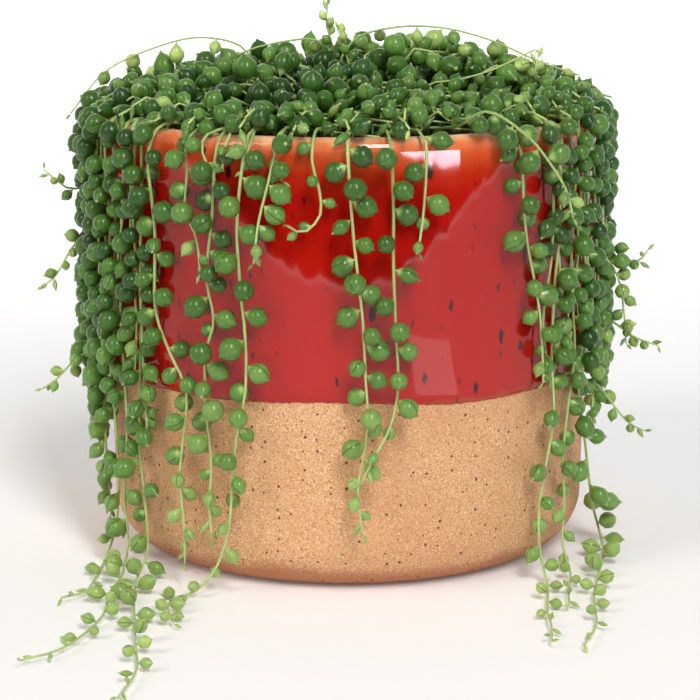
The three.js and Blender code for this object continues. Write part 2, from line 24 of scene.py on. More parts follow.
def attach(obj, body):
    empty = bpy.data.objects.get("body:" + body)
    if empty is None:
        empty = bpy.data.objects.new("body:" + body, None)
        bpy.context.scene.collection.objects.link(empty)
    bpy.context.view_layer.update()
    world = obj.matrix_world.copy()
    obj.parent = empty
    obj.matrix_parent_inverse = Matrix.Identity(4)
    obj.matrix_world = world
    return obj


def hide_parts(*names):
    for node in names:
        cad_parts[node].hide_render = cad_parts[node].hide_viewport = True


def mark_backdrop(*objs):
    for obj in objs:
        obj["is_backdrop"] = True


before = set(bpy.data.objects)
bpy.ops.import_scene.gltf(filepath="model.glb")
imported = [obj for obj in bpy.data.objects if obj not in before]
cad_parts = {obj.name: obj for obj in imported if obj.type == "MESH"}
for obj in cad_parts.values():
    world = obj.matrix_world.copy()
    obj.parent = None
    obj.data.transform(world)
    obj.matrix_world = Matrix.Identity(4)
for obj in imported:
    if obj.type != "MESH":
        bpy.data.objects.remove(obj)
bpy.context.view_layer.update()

LOG = logging.getLogger("string_of_pearls")
BODY = "root"
MM = 0.001

GOLDEN_ANGLE = 137.5
GOLDEN_SHARE = 0.6180339887
HANG_TOP = 0.137

# Settings that several shader nodes share, and the sockets of a node that mixes colours.
TIMES = {"operation": "MULTIPLY"}
TIMES_PLUS = {"operation": "MULTIPLY_ADD"}
MINUS = {"operation": "SUBTRACT"}
SMOOTH = {"interpolation_type": "SMOOTHSTEP"}
COLOURS = {"data_type": "RGBA"}
SHARE, UNDER, OVER, MIXED = 0, 6, 7, 2

# Where each kind of stem starts its draw of small differences.
STRAND_SEED = 101
TWIG_SEED = 1009
RUNNER_SEED = 5003
SPRIG_SEED = 7001
CHIP_SEED = 7
CURTAIN_SEED = 200
CURTAIN_STEP = 40

Profile = list[tuple[float, float]]
Skins = tuple[Material, Material]


# Small helpers ---------------------------------------------------------------------------------


def linear(code: str) -> tuple[float, float, float, float]:
    """Turns an sRGB hex colour into linear RGBA.

    Args:
        code: The colour as "#rrggbb".

    Returns:
        Red, green, blue and an alpha of 1, in linear light.
    """
    parts = [int(code[k:k + 2], 16) / 255 for k in (1, 3, 5)]
    red, green, blue = (p / 12.92 if p <= 0.04045 else ((p + 0.055) / 1.055) ** 2.4 for p in parts)
    return red, green, blue, 1.0


def per_metre(size: float) -> float:
    """Texture scale that draws features of about this size, in metres, on Object coordinates."""
    return 1 / size


def clamp(value: float, low: float = 0.0, high: float = 1.0) -> float:
    """Keeps a value between two limits."""
    return max(low, min(high, value))


def mix(start: float, end: float, share: float) -> float:
    """Straight blend from start to end."""
    return start + (end - start) * share


def spread(index: int, offset: float = 0.0) -> float:
    """A number from 0 to 1 that spreads evenly as the index grows."""
    return (index * GOLDEN_SHARE + offset) % 1.0


def shown_age(age: float, height: float, low: float = 0.070, share: float = 0.35) -> float:
    """The age that a leaf or a stem shows: what hangs low in open light stays paler."""
    return age * mix(share, 1.0, clamp(height / low))


def around_pot(azimuth: float, distance: float, height: float) -> Vector:
    """The point at an azimuth, a distance from the pot's axis and a height."""
    angle = math.radians(azimuth)
    return Vector((distance * math.sin(angle), -distance * math.cos(angle), height))


def arc(centre: tuple[float, float], radius: float, start: float, end: float, steps: int) -> Profile:
    """Points on an arc of a turned profile.

    Args:
        centre: Distance from the axis and height of the arc's centre.
        radius: The arc's radius.
        start: First angle in degrees, from outwards (0) to up (90).
        end: Last angle in degrees.
        steps: How many stretches the arc is cut into.

    Returns:
        Distance and height of each point.
    """
    angles = [math.radians(mix(start, end, k / steps)) for k in range(steps + 1)]
    return [(centre[0] + radius * math.cos(a), centre[1] + radius * math.sin(a)) for a in angles]


def wall_heights(low: float, high: float, steps: int = 10, support: float = 0.4 * MM) -> list[float]:
    """Heights of the rings on a straight wall, with one close to each end to keep its shading flat."""
    middle = [mix(low, high, k / steps) for k in range(1, steps)]
    return [low + support, *middle, high - support]


def fill_ramp(ramp: ColorRamp, stops: Sequence[tuple[float, str]]) -> None:
    """Sets a colour ramp's stops, each a place from 0 to 1 and an sRGB hex colour, in order.

    Args:
        ramp: The colour ramp.
        stops: Place from 0 to 1 and sRGB hex colour of each stop, in order.
    """
    for index, (place, code) in enumerate(stops):
        element = ramp.elements[index] if index < 2 else ramp.elements.new(place)
        element.position = place
        element.color = linear(code)


def add_node(
    tree: NodeTree,
    kind: str,
    settings: Mapping[str, Any] | None = None,
    inputs: Sequence[Any] | Mapping[str | int, Any] = (),
    output: str | int = 0,
) -> NodeSocket:
    """Adds a shader node with its settings and inputs, and gives one of its outputs.

    Args:
        tree: The node tree that gets the node.
        kind: The node's type name, without "ShaderNode" in front.
        settings: Values by the name of a property, or the stops of a colour ramp.
        inputs: A source socket or a plain value for each input, in the node's order or by name or number.
        output: The name or the number of the output.

    Returns:
        The output's socket.
    """
    node = tree.nodes.new(f"ShaderNode{kind}")
    for name, value in (settings or {}).items():
        if name == "color_ramp":
            fill_ramp(node.color_ramp, value)
        else:
            setattr(node, name, value)
    for name, source in inputs.items() if isinstance(inputs, Mapping) else enumerate(inputs):
        if isinstance(source, NodeSocket):
            tree.links.new(source, node.inputs[name])
        else:
            node.inputs[name].default_value = source
    return node.outputs[output]


def new_material(name: str) -> tuple[Material, NodeTree, Node]:
    """Makes a material and gives it with its node tree and its main shader.

    Args:
        name: The material's name.

    Returns:
        The material, its node tree and its main shader.
    """
    material = bpy.data.materials.new(name)
    material.use_nodes = True
    tree = material.node_tree
    return material, tree, tree.nodes["Principled BSDF"]


def object_place(tree: NodeTree, stretch: tuple[float, float, float] = (1, 1, 1)) -> NodeSocket:
    """Object coordinates, stretched along each axis by the given scale."""
    place = add_node(tree, "TexCoord", output="Object")
    return add_node(tree, "Mapping", None, {"Vector": place, "Scale": stretch})


def wrapped_place(tree: NodeTree, radius: float, shrink: float = 1.0, wobble: float = 0.5 * MM,
                  wobble_size: float = 1.5 * MM) -> NodeSocket:
    """Coordinates on the pot's wall, in metres: the way round it, and the height times a factor.

    The wobble makes what is drawn on them a little uneven.

    Args:
        tree: The node tree.
        radius: The wall's radius.
        shrink: Factor on the height, less than 1 for upright patterns.
        wobble: How far the coordinates are pushed about.
        wobble_size: Size of the wobble's waves.

    Returns:
        The socket with the coordinates.
    """
    place = add_node(tree, "TexCoord", output="Object")
    parts = add_node(tree, "SeparateXYZ", None, (place,)).node.outputs
    ahead = add_node(tree, "Math", TIMES, (parts["Y"], -1.0))
    angle = add_node(tree, "Math", {"operation": "ARCTAN2"}, (parts["X"], ahead))
    across = add_node(tree, "Math", TIMES, (angle, radius))
    upward = add_node(tree, "Math", TIMES, (parts["Z"], shrink))
    flat = add_node(tree, "CombineXYZ", None, (across, upward))
    uneven = add_node(tree, "TexNoise", None,
                      {"Vector": place, "Scale": per_metre(wobble_size), "Detail": 1.0}, "Color")
    sway = add_node(tree, "VectorMath", {"operation": "SCALE"}, {0: uneven, "Scale": wobble})
    return add_node(tree, "VectorMath", {"operation": "ADD"}, (flat, sway))


def scattered_spots(
    tree: NodeTree,
    place: NodeSocket,
    cell: float,
    widest: float,
    softness: float,
    share: float = 0.7,
) -> NodeSocket:
    """Spots of several sizes, scattered over a wall.

    Args:
        tree: The node tree.
        place: Wrapped coordinates.
        cell: Typical distance between spots, in metres.
        widest: Radius of the largest spot, in metres.
        softness: Width of a spot's soft edge, in metres.
        share: Share of the cells that hold a spot.

    Returns:
        The socket that is 1 inside a spot, less inside a small one, and 0 outside.
    """
    cells = add_node(tree, "TexVoronoi", {"voronoi_dimensions": "2D"},
                     {"Vector": place, "Scale": per_metre(cell)}).node.outputs
    chance = add_node(tree, "SeparateColor", None, (cells["Color"],), "Red")
    reach = add_node(tree, "MapRange", None, (chance, 1 - share, 1.0, 0.0, widest / cell))
    inside = add_node(tree, "Math", MINUS, (reach, cells["Distance"]))
    return add_node(tree, "MapRange", SMOOTH, (inside, 0.0, softness / cell))


# Finishes --------------------------------------------------------------------------------------


@dataclass(frozen=True)
class BareStoneware:
    """Stoneware fired without glaze: matt, sandy and full of fine grog, with iron specks burnt dark."""

    body: str = "#d9a77a"
    pale_grog: str = "#f6dab4"
    dark_grog: str = "#b07443"
    warm_cloud: str = "#c58a5a"
    iron: str = "#552713"
    tan_speck: str = "#9c6538"
    flashed: str = "#b3714f"
    wall_radius: float = 0.078
    grain: float = 0.55 * MM
    cloud: float = 30 * MM
    flash_top: float = 0.0185
    flash_edge: float = 5 * MM

    def build(self) -> Material:
        """Makes the material: grain colour and bump, two sizes of speck and a darker, flashed foot.

        Returns:
            The material.
        """
        material, tree, shader = new_material("stoneware_bare_fired")
        place = object_place(tree)
        grain = add_node(tree, "TexNoise", None, {"Vector": place, "Scale": per_metre(self.grain),
                                                  "Detail": 3.0, "Roughness": 0.7})
        cloud = add_node(tree, "TexNoise", None,
                         {"Vector": place, "Scale": per_metre(self.cloud), "Detail": 3.0})
        stops = [(0.35, self.dark_grog), (0.46, self.body), (0.55, self.body), (0.66, self.pale_grog)]
        colour = add_node(tree, "ValToRGB", {"color_ramp": stops}, (grain,))
        height = add_node(tree, "SeparateXYZ", None, (place,), "Z")
        for pattern, swing in ((cloud, 10 * MM), (grain, 8 * MM)):
            height = add_node(tree, "Math", TIMES_PLUS, (pattern, swing, height))
        wall = wrapped_place(tree, self.wall_radius)
        fine = scattered_spots(tree, wall, 1.7 * MM, 0.30 * MM, 0.15 * MM)
        pits = scattered_spots(tree, wall, 4.2 * MM, 0.55 * MM, 0.18 * MM, share=0.8)
        coats = (
            (add_node(tree, "MapRange", SMOOTH, (cloud, 0.42, 0.68, 0.0, 0.32)), self.warm_cloud),
            (add_node(tree, "MapRange", SMOOTH,
                      (height, self.flash_top, self.flash_top - self.flash_edge, 0.0, 0.85)), self.flashed),
            (add_node(tree, "Math", TIMES, (fine, 0.55)), self.tan_speck),
            (add_node(tree, "Math", TIMES, (pits, 0.9)), self.iron),
        )
        for share, code in coats:
            colour = add_node(tree, "Mix", COLOURS, {SHARE: share, UNDER: colour, OVER: linear(code)}, MIXED)
        tree.links.new(colour, shader.inputs["Base Color"])
        shader.inputs["Roughness"].default_value = 0.88
        shader.inputs["IOR"].default_value = 1.5
        dents = add_node(tree, "Math", MINUS, (grain, pits))
        bump = add_node(tree, "Bump", None, {"Strength": 0.7, "Distance": 0.3 * MM, "Height": dents})
        tree.links.new(bump, shader.inputs["Normal"])
        return material


@dataclass(frozen=True)
class BreakingRedGlaze:
    """Thick glossy stoneware glaze: deep red where it pools, orange where it thins and tan on the lip."""

    brink: str = "#ab3b22"
    lower: str = "#b01d16"
    deep: str = "#ab150c"
    warm: str = "#b62a12"
    thin: str = "#cf5228"
    thinner: str = "#df7646"
    lip: str = "#e8b98c"
    fleck: str = "#33121c"
    pot_height: float = 0.140
    edge_height: float = 0.0595
    margin: float = 3 * MM
    wall_radius: float = 0.0785
    run: float = 7 * MM
    run_swing: float = 6 * MM
    fleck_stretch: float = 0.4
    swell: float = 16 * MM

    def build(self) -> Material:
        """Makes the material: colour by thickness, long dark flecks and a mirror-like wavy surface.

        Returns:
            The material.
        """
        material, tree, shader = new_material("stoneware_red_glaze")
        place = object_place(tree)
        runs = add_node(tree, "TexNoise", None, {"Vector": object_place(tree, (1, 1, 0.22)),
                                                 "Scale": per_metre(self.run), "Detail": 4.0})
        height = add_node(tree, "SeparateXYZ", None, (place,), "Z")
        sagged = add_node(tree, "Math", TIMES_PLUS, (runs, self.run_swing, height))
        rise = add_node(tree, "MapRange", None,
                        (sagged, self.edge_height + self.margin, self.pot_height + self.margin))
        stops = [(0.0, self.brink), (0.02, self.lower), (0.45, self.deep), (0.78, self.deep),
                 (0.86, self.warm), (0.925, self.thin), (0.975, self.thinner), (1.0, self.lip)]
        colour = add_node(tree, "ValToRGB", {"color_ramp": stops}, (rise,))
        wall = wrapped_place(tree, self.wall_radius, self.fleck_stretch, wobble=1.0 * MM)
        bold = scattered_spots(tree, wall, 8.5 * MM, 1.5 * MM, 0.6 * MM, share=0.75)
        faint = scattered_spots(tree, wall, 5 * MM, 0.75 * MM, 0.6 * MM, share=0.6)
        for spots, strength in ((bold, 0.95), (faint, 0.8)):
            share = add_node(tree, "Math", TIMES, (spots, strength))
            colour = add_node(tree, "Mix", COLOURS,
                              {SHARE: share, UNDER: colour, OVER: linear(self.fleck)}, MIXED)
        tree.links.new(colour, shader.inputs["Base Color"])
        shader.inputs["Roughness"].default_value = 0.035
        shader.inputs["IOR"].default_value = 1.44
        swell = add_node(tree, "TexNoise", None,
                         {"Vector": place, "Scale": per_metre(self.swell), "Detail": 1.5})
        bump = add_node(tree, "Bump", None, {"Strength": 0.2, "Distance": 0.15 * MM, "Height": swell})
        tree.links.new(bump, shader.inputs["Normal"])
        return material


@dataclass(frozen=True)
class PottingSoil:
    """Damp peat and bark: nearly black, crumbly and without any shine."""

    peat: str = "#2a1b12"
    bark: str = "#5b3b25"
    dust: str = "#7d5a3c"
    crumb: float = 2.5 * MM

    def build(self) -> Material:
        """Makes the material: crumbs of three browns and a deep bump.

        Returns:
            The material.
        """
        material, tree, shader = new_material("potting_soil_peat")
        crumbs = add_node(tree, "TexNoise", None, {"Vector": object_place(tree), "Detail": 6.0,
                                                   "Scale": per_metre(self.crumb), "Roughness": 0.7})
        stops = [(0.35, self.peat), (0.55, self.bark), (0.72, self.dust)]
        colour = add_node(tree, "ValToRGB", {"color_ramp": stops}, (crumbs,))
        tree.links.new(colour, shader.inputs["Base Color"])
        shader.inputs["Roughness"].default_value = 0.95
        bump = add_node(tree, "Bump", None, {"Strength": 0.9, "Distance": 1.0 * MM, "Height": crumbs})
        tree.links.new(bump, shader.inputs["Normal"])
        return material


@dataclass(frozen=True)
class PearlSkin:
    """Skin of a bead leaf: waxy, juicy and slightly translucent, with one clear window line."""

    young: str = "#adc472"
    grown: str = "#688f42"
    mature: str = "#4b742b"
    old: str = "#294d1b"
    window: str = "#1f3f1a"
    stalk: str = "#9cb768"
    point: str = "#9fb26c"
    mottle: float = 2.2 * MM
    flesh: float = 1.6 * MM

    def build(self) -> Material:
        """Makes the material: green by age and tone, which also carry painted shade from the crown's mound,
        a dark window line, a pale stalk and a dry tip.

        Returns:
            The material.
        """
        material, tree, shader = new_material("pearl_leaf_waxy_skin")
        # The age and tone attributes also hold painted shade: leaves deep in the crown's mound are darker
        # and those on its top paler.
        age = add_node(tree, "Attribute", {"attribute_name": "age"}, output="Fac")
        tone = add_node(tree, "Attribute", {"attribute_name": "tone"}, output="Fac")
        spot = add_node(tree, "Attribute", {"attribute_name": "leaf_place"}, output="Vector")
        parts = add_node(tree, "SeparateXYZ", None, (spot,)).node.outputs
        mottle = add_node(tree, "TexNoise", None, {"Vector": object_place(tree), "Detail": 2.0,
                                                   "Scale": per_metre(self.mottle)})
        ripe = add_node(tree, "Math", TIMES_PLUS, (mottle, 0.16, age))
        ripe = add_node(tree, "Math", MINUS, (ripe, 0.08))
        stops = [(0.0, self.young), (0.35, self.grown), (0.7, self.mature), (1.0, self.old)]
        colour = add_node(tree, "ValToRGB", {"color_ramp": stops}, (ripe,))
        colour = add_node(tree, "HueSaturation", None, {"Color": colour, "Value": tone})
        beside = add_node(tree, "Math", {"operation": "ABSOLUTE"}, (parts["X"],))
        narrow = add_node(tree, "MapRange", SMOOTH, (beside, 0.10, 0.05))
        facing = add_node(tree, "MapRange", SMOOTH, (parts["Y"], 0.05, 0.30))
        line = add_node(tree, "Math", TIMES, (narrow, facing))
        coats = (
            (add_node(tree, "Math", TIMES, (line, 0.6)), self.window),
            (add_node(tree, "MapRange", SMOOTH, (parts["Z"], -0.72, -1.05)), self.stalk),
            (add_node(tree, "MapRange", SMOOTH, (parts["Z"], 1.10, 1.24)), self.point),
        )
        for share, code in coats:
            colour = add_node(tree, "Mix", COLOURS, {SHARE: share, UNDER: colour, OVER: linear(code)}, MIXED)
        tree.links.new(colour, shader.inputs["Base Color"])
        shader.inputs["Roughness"].default_value = 0.30
        shader.inputs["IOR"].default_value = 1.34
        shader.inputs["Coat Weight"].default_value = 0.22
        shader.inputs["Coat Roughness"].default_value = 0.08
        shader.inputs["Subsurface Weight"].default_value = 0.10
        shader.inputs["Subsurface Radius"].default_value = (0.5, 1.0, 0.25)
        shader.inputs["Subsurface Scale"].default_value = self.flesh
        return material


@dataclass(frozen=True)
class StemSkin:
    """Skin of a trailing stem: smooth, pale yellow-green, tinted brown near the root."""

    fresh: str = "#b4cb83"
    seasoned: str = "#7f9c4c"
    woody: str = "#75803f"
    streak: float = 3 * MM
    flesh: float = 0.8 * MM

    def build(self) -> Material:
        """Makes the material: green by age with faint streaks along the stem.

        Returns:
            The material.
        """
        material, tree, shader = new_material("pearl_stem_skin")
        age = add_node(tree, "Attribute", {"attribute_name": "age"}, output="Fac")
        streak = add_node(tree, "TexNoise", None, {"Vector": object_place(tree, (1, 1, 0.3)),
                                                   "Scale": per_metre(self.streak), "Detail": 2.0})
        ripe = add_node(tree, "Math", TIMES_PLUS, (streak, 0.3, age))
        stops = [(0.25, self.fresh), (0.85, self.seasoned), (1.15, self.woody)]
        colour = add_node(tree, "ValToRGB", {"color_ramp": stops}, (ripe,))
        tree.links.new(colour, shader.inputs["Base Color"])
        shader.inputs["Roughness"].default_value = 0.5
        shader.inputs["Subsurface Weight"].default_value = 0.1
        shader.inputs["Subsurface Scale"].default_value = self.flesh
        bump = add_node(tree, "Bump", None, {"Strength": 0.2, "Distance": 0.1 * MM, "Height": streak})
        tree.links.new(bump, shader.inputs["Normal"])
        return material


@dataclass(frozen=True)
class StudioSurface:
    """Plain surface of the studio: matt paper, or a card that only shows as a reflection.

    A far glow keeps a large sheet pale past the reach of the lamps.
    """

    name: str
    colour: str
    glow: float = 0.0
    far_glow: float | None = None
    lit_reach: float = 0.9
    far_reach: float = 2.4

    def build(self) -> Material:
        """Makes the material, which glows by itself if it has a glow.

        Returns:
            The material.
        """
        material, tree, shader = new_material(self.name)
        shader.inputs["Base Color"].default_value = linear(self.colour)
        shader.inputs["Roughness"].default_value = 0.9
        shader.inputs["Specular IOR Level"].default_value = 0.0
        shader.inputs["Emission Color"].default_value = linear(self.colour)
        shader.inputs["Emission Strength"].default_value = self.glow
        if self.far_glow is not None:
            away = add_node(tree, "VectorMath", {"operation": "LENGTH"}, (object_place(tree),), "Value")
            glow = add_node(tree, "MapRange", SMOOTH,
                            (away, self.lit_reach, self.far_reach, self.glow, self.far_glow))
            tree.links.new(glow, shader.inputs["Emission Strength"])
        return material


# Pot and soil ----------------------------------------------------------------------------------


def mesh_object(name: str, mesh: BMesh, materials: Iterable[Material], smooth: bool = True) -> Object:
    """Turns a bmesh into an object at the origin and frees it.

    Args:
        name: The object's name.
        mesh: The shape, already in place.
        materials: The object's material slots, in order.
        smooth: Whether faces are shaded smooth.

    Returns:
        The new object, linked to the scene.
    """
    data = bpy.data.meshes.new(name)
    for face in mesh.faces:
        face.smooth = smooth
    mesh.to_mesh(data)
    mesh.free()
    for material in materials:
        data.materials.append(material)
    made = bpy.data.objects.new(name, data)
    bpy.context.scene.collection.objects.link(made)
    return made


def turn(profile: Profile, segments: int) -> BMesh:
    """Turns a closed profile into a solid of revolution round +Z.

    Args:
        profile: Distance from the axis and height of each point. Its ends lie on the axis or meet.
        segments: How many steps the full turn has.

    Returns:
        A closed mesh with its faces outwards.
    """
    mesh = bmesh.new()
    verts = [mesh.verts.new((distance, 0, height)) for distance, height in profile]
    edges = [mesh.edges.new(pair) for pair in zip(verts, verts[1:])]
    bmesh.ops.spin(mesh, geom=verts + edges, cent=(0, 0, 0), axis=(0, 0, 1), dvec=(0, 0, 0),
                   angle=math.tau, steps=segments, use_merge=True, use_duplicate=False)
    bmesh.ops.remove_doubles(mesh, verts=mesh.verts, dist=0.01 * MM)
    bmesh.ops.recalc_face_normals(mesh, faces=mesh.faces)
    return mesh


@dataclass(frozen=True)
class PotForm:
    """Driving sizes of the pot, the glaze and the soil."""

    height: float = 0.140
    rim_radius: float = 0.080
    foot_radius: float = 0.0767
    foot_rounding: float = 0.0165
    wall: float = 0.0055
    floor: float = 0.007
    inner_taper: float = 0.0025
    inner_rounding: float = 0.006
    glaze_depth: float = 0.0010
    glaze_edge: float = 0.0595
    glaze_wave: float = 0.0012
    glaze_inner_drop: float = 0.0036
    soil_top: float = 0.1335

    @property
    def clay_height(self) -> float:
        """Height of the clay under the glaze."""
        return self.height - self.glaze_depth

    @property
    def lip_rounding(self) -> float:
        """Radius of the lip's half-round top."""
        return self.wall / 2

    @property
    def lip_height(self) -> float:
        """Height of the centre of the lip's rounding."""
        return self.clay_height - self.lip_rounding

    @property
    def lip_centre(self) -> float:
        """Distance of the centre of the lip's rounding from the axis."""
        return self.clay_radius(self.lip_height) - self.lip_rounding

    def clay_radius(self, height: float) -> float:
        """Outer radius of the clay at a height above the foot's rounding."""
        rise = (height - self.foot_rounding) / (self.clay_height - self.foot_rounding)
        return mix(self.foot_radius, self.rim_radius - self.glaze_depth, rise)

    def inner_radius(self, height: float) -> float:
        """Inner radius of the clay at a height."""
        depth = (self.lip_height - height) / (self.lip_height - self.floor)
        return self.lip_centre - self.lip_rounding - self.inner_taper * depth


@dataclass
class CoverPot:
    """The turned pot: a clay body and the glaze fused to its upper part."""

    form: PotForm = field(default_factory=PotForm)
    segments: int = 160
    lip_steps: int = 12
    foot_steps: int = 12
    corner_steps: int = 4
    sink: float = 0.12 * MM
    edge_grain: float = 0.45 * MM
    edge_grain_size: float = 2.2 * MM
    wavy_above_edge: float = 3.5 * MM

    def clay_body(self, clay: Material) -> Object:
        """Makes the clay body with its rounded foot, lip and inner corner.

        Args:
            clay: The bare clay's material.

        Returns:
            The finished piece.
        """
        form = self.form
        corner_height = form.floor + form.inner_rounding
        corner = (form.inner_radius(corner_height) - form.inner_rounding, corner_height)
        foot_arc = (form.foot_radius - form.foot_rounding, form.foot_rounding)
        profile = [(0.0, 0.0)]
        profile += arc(foot_arc, form.foot_rounding, -90, 0, self.foot_steps)
        profile += [(form.clay_radius(z), z) for z in wall_heights(form.foot_rounding, form.lip_height)]
        profile += arc((form.lip_centre, form.lip_height), form.lip_rounding, 0, 180, self.lip_steps)
        profile += arc(corner, form.inner_rounding, 0, -90, self.corner_steps)
        profile += [(0.0, form.floor)]
        piece = mesh_object("clay_body", turn(profile, self.segments), [clay])
        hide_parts("clay_pot")
        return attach(piece, BODY)

    def glaze(self, glaze: Material) -> Object:
        """Makes the glaze: a coat over the lip whose lower edge thins out in a wavy, grainy line.

        Args:
            glaze: The glaze's material.

        Returns:
            The finished piece.
        """
        form = self.form
        lip = (form.lip_centre, form.lip_height)
        inner_end = form.height - form.glaze_inner_drop - form.lip_rounding
        mouth = form.lip_centre - form.lip_rounding
        bead = [(0.0, -self.sink), (0.0, 0.30 * MM), (0.5 * MM, 0.62 * MM), (1.4 * MM, 0.85 * MM),
                (3.0 * MM, form.glaze_depth)]
        outside = [(form.clay_radius(form.glaze_edge + rise) + depth, form.glaze_edge + rise)
                   for rise, depth in bead]
        wall = [(form.clay_radius(z) + form.glaze_depth, z)
                for z in wall_heights(form.glaze_edge + bead[-1][0], form.lip_height)]
        profile = outside + wall
        profile += arc(lip, form.lip_rounding + form.glaze_depth, 0, 180, self.lip_steps)
        profile += [(mouth - form.glaze_depth, inner_end + 1.0 * MM), (mouth - 0.5 * MM, inner_end),
                    (mouth + self.sink, inner_end)]
        profile += arc(lip, form.lip_rounding - self.sink, 180, 0, self.lip_steps)
        profile += [outside[0]]
        mesh = turn(profile, 2 * self.segments)
        for vert in mesh.verts:
            if vert.co.z < form.glaze_edge + self.wavy_above_edge:
                vert.co.z += self.edge_wave(vert.co)
        piece = mesh_object("glaze_skin", mesh, [glaze])
        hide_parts("glaze_coat")
        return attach(piece, BODY)

    def edge_wave(self, place: Vector) -> float:
        """How far the glaze's lower edge runs up or down at a place.

        Args:
            place: A point on the edge.

        Returns:
            The shift in metres, upwards if positive.
        """
        angle = math.atan2(place.y, place.x)
        wave = 0.6 * math.sin(3 * angle + 0.5) + 0.4 * math.sin(7 * angle)
        grain = noise.noise(Vector((place.x, place.y, 0)) * per_metre(self.edge_grain_size))
        return self.form.glaze_wave * wave + self.edge_grain * grain


@dataclass
class SoilPlug:
    """The potting soil: a plug that fills the pot, heaped a little in the middle and crumbly on top."""

    form: PotForm
    clearance: float = 0.3 * MM
    heap: float = 5.0 * MM
    heap_radius: float = 0.060
    rings: int = 34
    segments: int = 128
    lump: float = 0.7 * MM
    lump_size: float = 9 * MM
    crumb: float = 0.45 * MM
    crumb_size: float = 2.5 * MM
    chips: int = 160
    chip_margin: float = 3 * MM
    chip_length: tuple[float, float] = (1.0, 2.4)
    chip_width: tuple[float, float] = (0.35, 0.8)
    chip_depth: float = 0.3
    chip_tilt: float = 0.5

    def top_height(self, place: Vector) -> float:
        """Height of the soil's surface at a place.

        Args:
            place: The place; its height doesn't count.

        Returns:
            The height in metres.
        """
        reach = clamp(math.hypot(place.x, place.y) / self.heap_radius)
        lumps = noise.noise(Vector((place.x, place.y, 0.4)) * per_metre(self.lump_size))
        crumbs = noise.noise(Vector((place.x, place.y, 0.9)) * per_metre(self.crumb_size))
        heaped = self.form.soil_top + self.heap * (1 - reach ** 2)
        return heaped + self.lump * lumps + self.crumb * crumbs

    def build(self, soil: Material) -> Object:
        """Makes the plug and the bark chips that lie on it.

        Args:
            soil: The soil's material.

        Returns:
            The finished piece.
        """
        form = self.form
        bottom = form.floor + self.clearance
        corner = bottom + form.inner_rounding * 2
        edge = form.inner_radius(form.soil_top) - 2 * self.clearance
        top = [(edge * (1 - k / self.rings), form.soil_top) for k in range(self.rings + 1)]
        foot = form.inner_radius(bottom) - form.inner_rounding - self.clearance
        profile = [(0.0, bottom), (foot, bottom), (form.inner_radius(corner) - 2 * self.clearance, corner)]
        mesh = turn(profile + top, self.segments)
        for vert in mesh.verts:
            if vert.co.z > form.soil_top - MM:
                vert.co.z = self.top_height(vert.co)
        self.add_chips(mesh, edge)
        piece = mesh_object("soil_plug", mesh, [soil], smooth=False)
        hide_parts("soil")
        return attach(piece, BODY)

    def add_chips(self, mesh: BMesh, edge: float) -> None:
        """Scatters flat bark chips over the surface, half sunk into it.

        Args:
            mesh: The mesh that gets the chips.
            edge: Radius of the soil's surface.
        """
        draw = random.Random(CHIP_SEED)
        for index in range(self.chips):
            distance = (edge - self.chip_margin) * math.sqrt((index + 0.5) / self.chips)
            spot = around_pot(index * GOLDEN_ANGLE, distance, 0)
            spot.z = self.top_height(spot)
            size = draw.uniform(*self.chip_length) * MM
            turned = Matrix.Rotation(draw.uniform(0, math.tau), 4, "Z") @ Matrix.Rotation(
                draw.uniform(-self.chip_tilt, self.chip_tilt), 4, "X")
            width = size * draw.uniform(*self.chip_width)
            shape = Matrix.Diagonal((size, width, size * self.chip_depth, 1))
            bmesh.ops.create_cube(mesh, size=2.0, matrix=Matrix.Translation(spot) @ turned @ shape)


# Strand rows -----------------------------------------------------------------------------------


@dataclass(frozen=True)
class StrandRow:
    """Chosen points of one strand.

    hang holds (azimuth, height) or (azimuth, height, distance from the axis), trail holds (x, y) on the
    surface, and a twig is the height where it leaves the stem, followed by points as in hang.
    """

    name: str
    hang: Sequence[tuple[float, ...]]
    trail: Sequence[tuple[float, float]] = ()
    twigs: Sequence[tuple[Any, ...]] = ()
    root: float | None = None
    spacing: float = 5.4 * MM
    side_spacing: float = 2.9 * MM
    trail_spacing: float = 8.5 * MM
    leaf_radius: float = 3.3 * MM


# Routes, leaves and stems -----------------------------------------------------------------------


